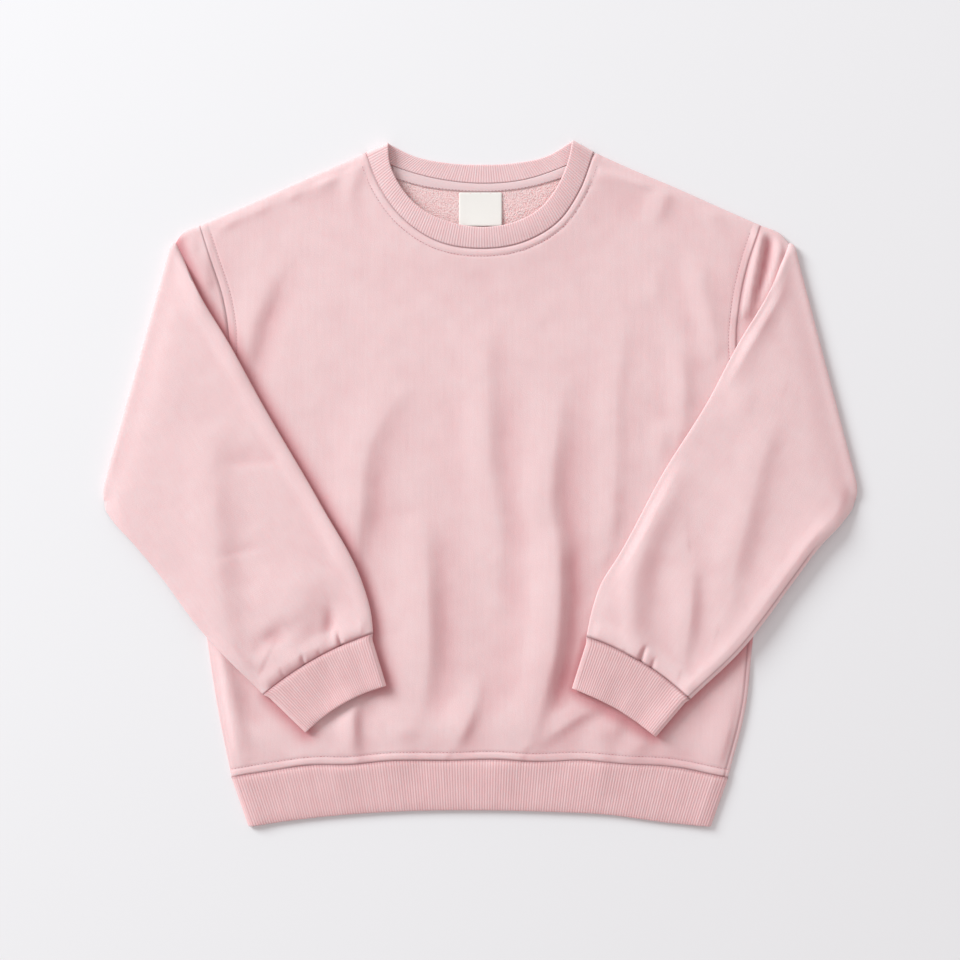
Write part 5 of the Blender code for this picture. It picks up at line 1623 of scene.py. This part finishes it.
    def relief(self, plan: Points, past: np.ndarray, to_cuff: np.ndarray) -> np.ndarray:
        """The sleeve's folds, a slight ripple and its fullness by the cuff."""
        broad, fine = self.ripple
        folds = creases(plan, SLEEVE_FOLDS[self.side.name])
        folds += broad * wander(plan, cell=30.0, seed=11) + fine * wander(plan, cell=11.0, seed=12)
        puff = bell(to_cuff - self.puff_at, self.puff_width)
        folds += self.cuff_puff * (puff - self.drawn_in * bell(to_cuff, self.drawn_width))
        return folds * ease(past / self.fold_start)

    def tangents(self, points: Points) -> Points:
        """Directions along an edge from the fold on; the rings before it take the first."""
        start = self.root + self.wrap
        found = np.empty_like(points)
        found[start:] = np.gradient(points[start:], axis=0)
        found[:start] = found[start]
        return found


def tube_walls(middle: np.ndarray, ring: Ring, direction: Points, wall: float,
               raised: np.ndarray | float = 0.0, raised_inside: np.ndarray | float = 0.0,
               rim: np.ndarray | None = None) -> tuple[np.ndarray, np.ndarray]:
    """Outer and inner grids of a closed tube, square to its seams at both ends.

    Args:
        middle: The middle of the wall.
        ring: How it is sampled round.
        direction: The rings' direction in plan.
        wall: The wall's thickness.
        raised: Height of what stands up on the outside.
        raised_inside: The same on the inside.
        rim: For each row, how full the wall is there, which rounds a free end.

    Returns:
        The outer and the inner grid.
    """
    normals = ring_normals(middle, ring.layer)
    for row in (0, -1):
        normals[row] = curtained(normals[row], direction[row])
    full = np.ones(len(middle)) if rim is None else rim
    grids = []
    for sign, height in ((1, raised), (-1, raised_inside)):
        reach = (wall / 2 + np.broadcast_to(height, middle.shape[:2])) * full[:, None]
        grid = middle + sign * normals * reach[..., None]
        grid[..., 2] = np.maximum(grid[..., 2], 0)
        grids.append(grid)
    return tuple(grids)


@dataclass
class Ribbed:
    """What the ribbed tubes share: how ribs are spaced and rounded, and how a free end is."""

    pattern: Pattern
    lie: BodyLie
    pitch: float = 2.8
    rib_height: float = 0.32
    per_rib: int = 8
    end_round: float = 1.3
    end_least: float = 0.22
    unevenness: float = 0.12
    end_rows: tuple[float, ...] = (0.0, 0.12, 0.4, 0.8, 1.3)

    def rib_shares(self, ribs: int) -> np.ndarray:
        """Shares across for this many ribs, `per_rib` columns each."""
        return (np.arange(ribs * self.per_rib) + 0.5) / (ribs * self.per_rib)

    def ridges(self, ring: Ring, layer: int, ribs: int) -> np.ndarray:
        """1 on each rib's crest and 0 in the grooves: the square root of a raised cosine, so crests are
        broad and grooves narrow, a little uneven from rib to rib."""
        phase = ring.value * ribs
        number = np.floor(phase)
        crest = np.sqrt(0.5 - 0.5 * np.cos(2 * np.pi * phase))
        uneven = 1 + self.unevenness * np.sin(1.7 * number) * np.sin(0.61 * number)
        return np.where(ring.on(layer), crest * uneven, 0.0)

    def drops(self, length: float, middle: int) -> np.ndarray:
        """Rows as shares of the way to the free end, close together where it is rounded."""
        tail = 1 - np.array(self.end_rows[::-1]) / length
        return np.concatenate([np.linspace(0, tail[0], middle, endpoint=False), tail])

    def fullness(self, drop: np.ndarray, length: float) -> np.ndarray:
        """How full the wall is at each row: a quarter circle at the free end, never quite to nothing."""
        return np.maximum(LIE.rolled((1 - drop) * length, self.end_round), self.end_least)

    def shell(self, name: str, ring: Ring, plan: Points, height: np.ndarray, drop: np.ndarray,
              length: float, ribs: dict[int, int], shade: tuple[float, float] = (0.8, 0.9),
              back_inside: bool = False) -> Shell:
        """The tube's shell, ribbed where it shows and rounded at its free end.

        Args:
            name: The piece's name.
            ring: How it is sampled round.
            plan: Its plan grid.
            height: The height of its wall's middle.
            drop: Each row's share of the way to the free end.
            length: From the seam to the free end.
            ribs: For each layer that has ribs, how many.
            shade: How deep and how wide the seam's painted shade is.
            back_inside: Whether the back layer has its ribs on the inside.

        Returns:
            The shell.
        """
        layers = {layer: self.ridges(ring, layer, count) for layer, count in ribs.items()}
        ridge, inside = sum(layers.values()), layers[-1] if back_inside else 0.0
        outer, inner = tube_walls(
            np.concatenate([plan, height[..., None]], axis=-1), ring, round_direction(plan, ring.layer),
            LIE.rib_wall, raised=self.rib_height * (ridge - inside), raised_inside=self.rib_height * inside,
            rim=self.fullness(drop, length),
        )
        depth, width = shade
        # painted shade at the seam; the ridge mark is 1 on rib crests, and the finish paints shade into the
        # grooves
        marks = {
            "ridge": np.where(np.any([ring.on(layer) for layer in ribs], axis=0), ridge, 1.0),
            "seam": depth * bell(drop * length, width)[:, None],
        }
        marks = {key: np.broadcast_to(values, height.shape) for key, values in marks.items()}
        return Shell(name, outer, inner, True, plan, marks)


@dataclass
class Cuff(Ribbed):
    """A ribbed flat tube that carries on from a sleeve's end."""

    side: Side = LEFT
    rows: int = 15
    under_columns: int = 60
    depth: float = 3.6
    swell: float = 1.2
    swell_least: float = 0.6
    swell_reach: tuple[float, float] = (5.0, 8.0)

    def build(self) -> Shell:
        """The cuff's shell."""
        side = self.side
        length = length_of(side.lines["cuff_inner"])
        drop = self.drops(length, self.rows)
        top, bottom = (along(side.lines[key], drop) for key in ("cuff_inner", "cuff_outer"))
        span = bottom - top
        ribs = int(round(np.linalg.norm(span[0]) / self.pitch))
        ring = Ring.around(evenly(self.under_columns), self.rib_shares(ribs), EDGE_STEPS)
        run = unit(top[-1] - top[0] + bottom[-1] - bottom[0])
        bulge = side.seam_bulge + (side.end_bulge - side.seam_bulge) * drop
        slopes = [np.abs(cross(span, unit(line[-1] - line[0]))) for line in (top, bottom)]
        shares = ring.shares(*slopes)
        plan = top[:, None] + shares[..., None] * span[:, None] + bowed(shares, span, bulge, -run)
        plan[0] += LIE.butt_gap * run
        edge = np.minimum(*(nearest(plan, extended(line))[0] for line in (top, bottom))) * (ring.layer != 0)
        at_seam, at_end = self.swell_reach
        swell = LIE.rolled(drop * length, at_seam) * LIE.rolled((1 - drop) * length, at_end)
        swell = self.swell * (swell - self.swell_least)[:, None] + creases(plan, CUFF_FOLDS[side.name])
        depths = (self.depth, side.edge_depths(shares))
        height = resting(self.lie, plan, ring.layer, edge, LIE.rib_wall, depths, swell)
        return self.shell(f"cuff_{side.name}_rib", ring, plan, height, drop, length, {-1: ribs})


@dataclass
class HemBand(Ribbed):
    """The ribbed tube below the body. Its upper layer follows the front's folds down and flattens."""

    rows: int = 15
    under_columns: int = 150
    slope: float = 0.985
    fade: float = 2.6
    swell: float = 1.7
    swell_reach: tuple[float, float] = (7.0, 10.0)
    swell_fade: float = 12.0
    fold_ease: float = 7.0
    depth: float = 49.0

    def build(self) -> Shell:
        """The hem band's shell."""
        hem, low_edge = self.pattern.hem, self.pattern.hem_edge
        drop = self.drops(self.depth, self.rows)
        ribs = int(round(length_of(hem) / self.pitch))
        ring = Ring.around(self.rib_shares(ribs), evenly(self.under_columns), EDGE_STEPS)
        width = self.slope * (length_of(hem) * (1 - drop) + length_of(low_edge) * drop)
        shares = ring.shares(width, width)
        upper, lower = along(hem, shares[0]), along(low_edge, shares[-1])
        plan = (1 - drop)[:, None, None] * upper + drop[:, None, None] * lower
        edge = self.pattern.edge_distance(plan)[0] * (ring.layer != 0)
        plain = LIE.crowned(self.pattern.edge_distance(upper)[0], LIE.lay, LIE.wall / 2 + 2 * LIE.roll)
        folds = (self.lie.front.at(upper) - plain)[None] * ((1 - drop) ** self.fade)[:, None]
        folds = folds + creases(plan, HEM_FOLDS) * ease(drop * self.depth / self.fold_ease)[:, None]
        low, high = LIE.rib_wall * 1.5 + LIE.seam_gap, LIE.rib_wall / 2 + 2 * LIE.roll
        at_seam, at_end = self.swell_reach
        swell = LIE.rolled(drop * self.depth, at_seam) * LIE.rolled((1 - drop) * self.depth, at_end)
        swell = self.swell * swell[:, None] * ease((edge - LIE.roll) / self.swell_fade)
        crest, back = LIE.crowned(edge, low, high) + folds + swell, LIE.rib_wall / 2
        rolled = LIE.rolled(edge, LIE.reach(ring.layer > 0))
        height = (crest + back) / 2 + ring.layer * (crest - back) / 2 * rolled
        made = self.shell("hem_band", ring, plan, height, drop, self.depth, {1: ribs}, shade=(0.8, 1.0))
        rests = (ring.layer < 0) & (edge > LIE.roll)
        made.outer[..., 2] = np.where(rests, 0.0, made.outer[..., 2])
        return made


@dataclass
class Collar(Ribbed):
    """A ribbed ring whose front half lies over its back half, turned over at the two shoulders.

    Its front half shows its outside and its back half its inside, so each has ribs where it shows.
    """

    rows: int = 11
    start: float = 0.004
    rim_rise: float = 2.2
    peak_rise: float = 2.0
    crown: float = 0.7
    depth: float = 22.5
    slopes: tuple[float, float] = (0.95, 0.72)

    def build(self) -> Shell:
        """The collar's shell."""
        lines = self.pattern
        rise = np.maximum(self.drops(self.depth, self.rows), self.start)
        necks, rims = (lines.neck, lines.back_neck), (lines.rim, lines.back_rim)
        ribs = [int(round(length_of(neck) / self.pitch)) for neck in necks]
        ring = Ring.around(*(self.rib_shares(count) for count in ribs), EDGE_STEPS)
        growth = [
            slope * ((1 - rise) * length_of(neck) + rise * length_of(rim))
            for slope, neck, rim in zip(self.slopes, necks, rims)
        ]
        shares = np.where(ring.layer >= 0, *(ring.shares(size, size) for size in growth))
        up = rise[:, None, None]
        plan = np.where(
            (ring.layer >= 0)[None, :, None],
            *((1 - up) * along(neck, shares) + up * along(rim, shares) for neck, rim in zip(necks, rims)),
        )
        peaks = [np.array([lines.neck[end], lines.rim[end]]) for end in (0, -1)]
        edge = np.minimum(*(nearest(plan, extended(line))[0] for line in peaks)) * (ring.layer != 0)
        seam_height = self.lie.front.at(along(lines.neck, shares[0]))[None]
        seam_height = seam_height - (LIE.rib_wall - LIE.wall) / 2
        to_peak = np.abs(2 * shares - 1) ** 3
        crest = seam_height + rise[:, None] * (self.rim_rise + self.peak_rise * to_peak)
        crest = crest + self.crown * np.sin(np.pi * rise)[:, None] * (1 - to_peak)
        base = LIE.rib_wall / 2
        rolled = LIE.rolled(edge, LIE.roll * (1 + rise[:, None]))
        height = (crest + base) / 2 + ring.layer * (crest - base) / 2 * rolled
        return self.shell(
            "collar_rib", ring, plan, height, rise, self.depth, dict(zip((1, -1), ribs)),
            shade=(0.7, 0.9), back_inside=True,
        )


# ---- tape, label and stitches ----


@dataclass
class NeckTape:
    """A flat tape over the back neck seam, lying on the inside of the back."""

    pattern: Pattern
    thick: float = 1.0
    columns: int = 121
    rows: int = 9
    edge_share: float = 0.55
    shade_rows: float = 8.0
    shade_width: float = 1.2

    def build(self) -> Shell:
        """The tape's shell: slightly crowned across, with rounded edges."""
        lower = along(self.pattern.tape, np.linspace(0, 1, self.columns))
        seam = self.pattern.back_neck
        upper = np.interp(lower[:, 0], seam[:, 0], seam[:, 1]) - 2 * LIE.butt_gap
        t = np.linspace(0, 1, self.rows)[:, None]
        y = (1 - t) * lower[:, 1] + t * upper
        x = np.broadcast_to(lower[:, 0], y.shape)
        base = LIE.wall + LIE.seam_gap
        crown = self.edge_share + (1 - self.edge_share) * np.sin(np.pi * t)
        crown = np.broadcast_to(self.thick * crown, y.shape)
        outer = np.stack([x, y, base + crown], axis=-1)
        inner = np.stack([x, y, np.full(y.shape, base)], axis=-1)
        # painted shade along the tape's upper edge, in the seam with the back neck
        seam = np.broadcast_to(bell((1 - t) * self.shade_rows, self.shade_width), y.shape)
        return Shell("neck_tape_cloth", outer, inner, False, outer[..., :2], {"seam": seam})


@dataclass
class Label:
    """A blank woven label, sewn on at its top end, whose free end curls up a little."""

    top: tuple[float, float] = (0.0, 290.8)
    size: tuple[float, float] = (43.0, 34.0)
    thick: float = 1.0
    curl: float = 1.8
    wave: float = 0.25
    corner: float = 1.2
    rim_share: float = 0.35
    rim_round: float = 0.9
    columns: int = 44
    rows: int = 36

    def build(self) -> Shell:
        """The label's shell: a slab with soft corners and thin rims, a little wavy."""
        width, length = self.size
        u, down = np.meshgrid(np.linspace(-1, 1, self.columns), np.linspace(0, 1, self.rows))
        near_end = np.minimum(down, 1 - down) * length
        pull = self.corner * (1 - LIE.rolled(near_end, self.corner))
        x = self.top[0] + u * (width / 2 - pull * np.abs(u) ** 6)
        y = self.top[1] - length * down
        lift = self.curl * down**2 + self.wave * down * np.sin(2.2 * u + 0.6)
        rim = np.minimum(near_end, (1 - np.abs(u)) * width / 2)
        full = self.rim_share + (1 - self.rim_share) * LIE.rolled(rim, self.rim_round)
        half = self.thick / 2 * full
        middle = LIE.wall + LIE.seam_gap + self.thick / 2 + lift
        outer, inner = (np.stack([x, y, middle + sign * half], axis=-1) for sign in (1, -1))
        return Shell("label_cloth", outer, inner, False, outer[..., :2])


@dataclass
class Stitching:
    """A row of stitches that lie on a surface along a line, each a small rounded bar.

    SECTIONS gives each ring of a bar its place along it, its share of the width and its lift in widths.
    """

    name: str
    path: Points
    surface: np.ndarray
    pitch: float = 3.3
    length: float = 2.5
    width: float = 0.5
    sink: float = 0.1
    around: int = 6

    SECTIONS = ((-0.5, 0.25, -0.35), (-0.3, 0.9, 0.0), (0.0, 1.0, 0.12), (0.3, 0.9, 0.0), (0.5, 0.25, -0.35))

    def on_surface(self, points: Points) -> np.ndarray:
        """The height of the surface's nearest point under each plan point."""
        flat = self.surface.reshape(-1, 3)
        near = np.abs(flat[:, :2, None] - points.T[None]).max(axis=1).argmin(axis=0)
        return flat[near, 2]

    def build(self, finish: Finish, slot: str) -> bpy.types.Object:
        """One mesh of all the stitches: rings of points round each bar, lofted, with end caps."""
        count = max(int(length_of(self.path) / self.pitch), 1)
        shares = (np.arange(count) + 0.5) / count
        reach = self.length / 2 / length_of(self.path)
        ends = [along(self.path, np.clip(shares + sign * reach, 0, 1)) for sign in (-1, 1)]
        start, end = (np.concatenate([p, self.on_surface(p)[:, None]], axis=-1) for p in ends)
        run, centre = end - start, (start + end) / 2 - np.array([0, 0, self.sink])
        side = unit(np.cross(run, (0, 0, 1)))
        over = unit(np.cross(side, run))
        turn = (2 * np.pi * np.arange(self.around) / self.around)[:, None]
        round_it = np.cos(turn) * side[:, None] + np.sin(turn) * over[:, None]
        rings = [
            (centre + at * run + lift * self.width * over)[:, None] + size * self.width / 2 * round_it
            for at, size, lift in self.SECTIONS
        ]
        points = np.stack(rings, axis=1).reshape(-1, 3)
        each = len(self.SECTIONS) * self.around
        body = grid_quads(len(self.SECTIONS), self.around, True)
        last = each - self.around
        caps = np.array([[3, 2, 1, 0], [5, 4, 3, 0], [last, last + 1, last + 2, last + 3],
                         [last, last + 3, last + 4, last + 5]])
        one = facing_out(points, np.vstack([body, caps]))
        quads = (one[None] + each * np.arange(count)[:, None, None]).reshape(-1, 4)
        made = mesh_object(self.name, points, quads)
        made.data.materials.append(finish.material())
        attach(made, "root")
        return made


def beside(path: Points, distance: float) -> Points:
    """The line that runs at a distance to the left of a polyline."""
    step = unit(np.gradient(path, axis=0))
    return path + distance * np.stack([-step[:, 1], step[:, 0]], axis=-1)


# ---- studio ----


@dataclass
class Studio:
    """A pale floor, a large soft light from the upper left, an even pale surround and the camera."""

    camera_height: float = 2.4
    lens: float = 90.0
    sensor: float = 36.0
    clip: tuple[float, float] = (0.1, 20.0)
    centre: tuple[float, float] = (-0.0005, 0.0035)
    key_place: tuple[float, float, float] = (-4.85, 3.65, 3.3)
    key_size: float = 3.4
    key_power: float = 468.0
    key_colour: str = "#F4FBFD"
    surround: str = "#FDF6F7"
    surround_strength: float = 0.632
    floor_size: float = 8.0
    floor_points: int = 9
    floor_drop: float = 0.05

    def build(self) -> None:
        """Makes the floor, the lights and the camera."""
        scene = bpy.context.scene
        scene.view_settings.view_transform = "Standard"
        scene.view_settings.look = "None"
        self.floor()
        light = bpy.data.lights.new("key", "AREA")
        light.shape, light.size, light.energy = "DISK", self.key_size, self.key_power
        light.color = linear(self.key_colour)[:3]
        key = bpy.data.objects.new("key", light)
        key.location = self.key_place
        key.rotation_euler = (-Vector(self.key_place)).to_track_quat("-Z", "Y").to_euler()
        scene.collection.objects.link(key)
        world = bpy.data.worlds.new("surround")
        world.use_nodes = True
        back = world.node_tree.nodes["Background"]
        back.inputs["Color"].default_value = linear(self.surround)
        back.inputs["Strength"].default_value = self.surround_strength
        scene.world = world
        lens = bpy.data.cameras.new("overhead")
        lens.lens, lens.sensor_width = self.lens, self.sensor
        lens.clip_start, lens.clip_end = self.clip
        lens.dof.use_dof = False
        camera = bpy.data.objects.new("overhead", lens)
        camera.location = (*self.centre, self.camera_height)
        scene.collection.objects.link(camera)
        scene.camera = camera

    def floor(self) -> None:
        """A level sheet just under the garment."""
        half = self.floor_size / 2 / MM
        side = np.linspace(-half, half, self.floor_points)
        vertices = np.stack(np.meshgrid(side, side, -self.floor_drop), axis=-1).reshape(-1, 3)
        made = mesh_object("floor", vertices, grid_quads(self.floor_points, self.floor_points, False))
        made.data.materials.append(FLOOR.material())


# ---- the garment ----


@dataclass(frozen=True)
class Cut:
    """The flat size that a piece of cloth is cut to, in metres, and its area where it isn't a rectangle."""

    size: tuple[float, float]
    area: float
    held: str


class Sweatshirt:
    """Builds every piece of the garment in order, with its sewing."""

    def __init__(self) -> None:
        """Works out the plan and the heights that all pieces share."""
        self.pattern = Pattern()
        self.lie = BodyLie(self.pattern)

    def build(self) -> None:
        """Makes the body, the sleeves, the ribs and the small pieces."""
        self.body()
        for side in self.pattern.sides:
            self.sleeve(side)
        self.ribs()
        self.small_pieces()

    def body(self) -> None:
        """The back and the front, with the topstitching beside the front's seams."""
        back = BackPanel(self.pattern, self.lie).build()
        back = back.build((FLEECE, TERRY), "back_panel", "fleece_inside")
        maker = FrontPanel(self.pattern, self.lie)
        shell = maker.build()
        front = shell.build((FLEECE, TERRY), "front_panel", "fleece")
        rows = {
            "hem": beside(self.pattern.hem, maker.band.stitch_at),
            "neck": beside(self.pattern.neck, -maker.neck_band.stitch_at)[4:-4],
            "armhole_left": beside(LEFT.lines["armhole"], -maker.band.stitch_at)[3:-3],
            "armhole_right": beside(RIGHT.lines["armhole"], maker.band.stitch_at)[3:-3],
        }
        sewing = [
            Stitching(f"topstitch_{name}", path, shell.outer).build(THREAD, "fleece")
            for name, path in rows.items()
        ]

    def sleeve(self, side: Side) -> None:
        """A sleeve and its cuff."""
        sleeve = Sleeve(side, self.lie).build()
        sleeve = sleeve.build((FLEECE, TERRY), f"sleeve_{side.name}", "fleece")
        cuff = Cuff(self.pattern, self.lie, side=side).build()
        cuff = cuff.build((SHADED_RIB, SHADED_RIB), f"cuff_{side.name}", "rib_knit")

    def ribs(self) -> None:
        """The hem band and the collar."""
        hem = HemBand(self.pattern, self.lie).build()
        hem = hem.build((SHADED_RIB, SHADED_RIB), "hem_rib", "rib_knit")
        collar = Collar(self.pattern, self.lie).build()
        collar = collar.build((COLLAR_RIB, COLLAR_RIB), "neck_rib", "rib_knit")

    def small_pieces(self) -> None:
        """The neck tape and the label, with the stitches that hold them."""
        shell = NeckTape(self.pattern).build()
        tape = shell.build((TAPE, TAPE), "neck_tape", "tape")
        lower = self.pattern.tape + (0, 0.9)
        row = Stitching("tape_stitches", lower, shell.outer, width=0.45).build(THREAD, "tape")
        maker = Label()
        shell = maker.build()
        label = shell.build((LABEL, LABEL), "label", "label_cloth")
        path = np.array(maker.top) + np.array([(-15.0, -1.2), (15.0, -1.2)])
        row = Stitching("label_stitches", path, shell.outer, pitch=10.0, length=1.8, width=0.45)
        row = row.build(LABEL_THREAD, "label_cloth")


def main() -> None:
    """Builds the garment, then the studio round it."""
    logging.basicConfig(level=logging.INFO, format="%(name)s: %(message)s")
    Sweatshirt().build()
    Studio().build()


if __name__ == "__main__":
    main()
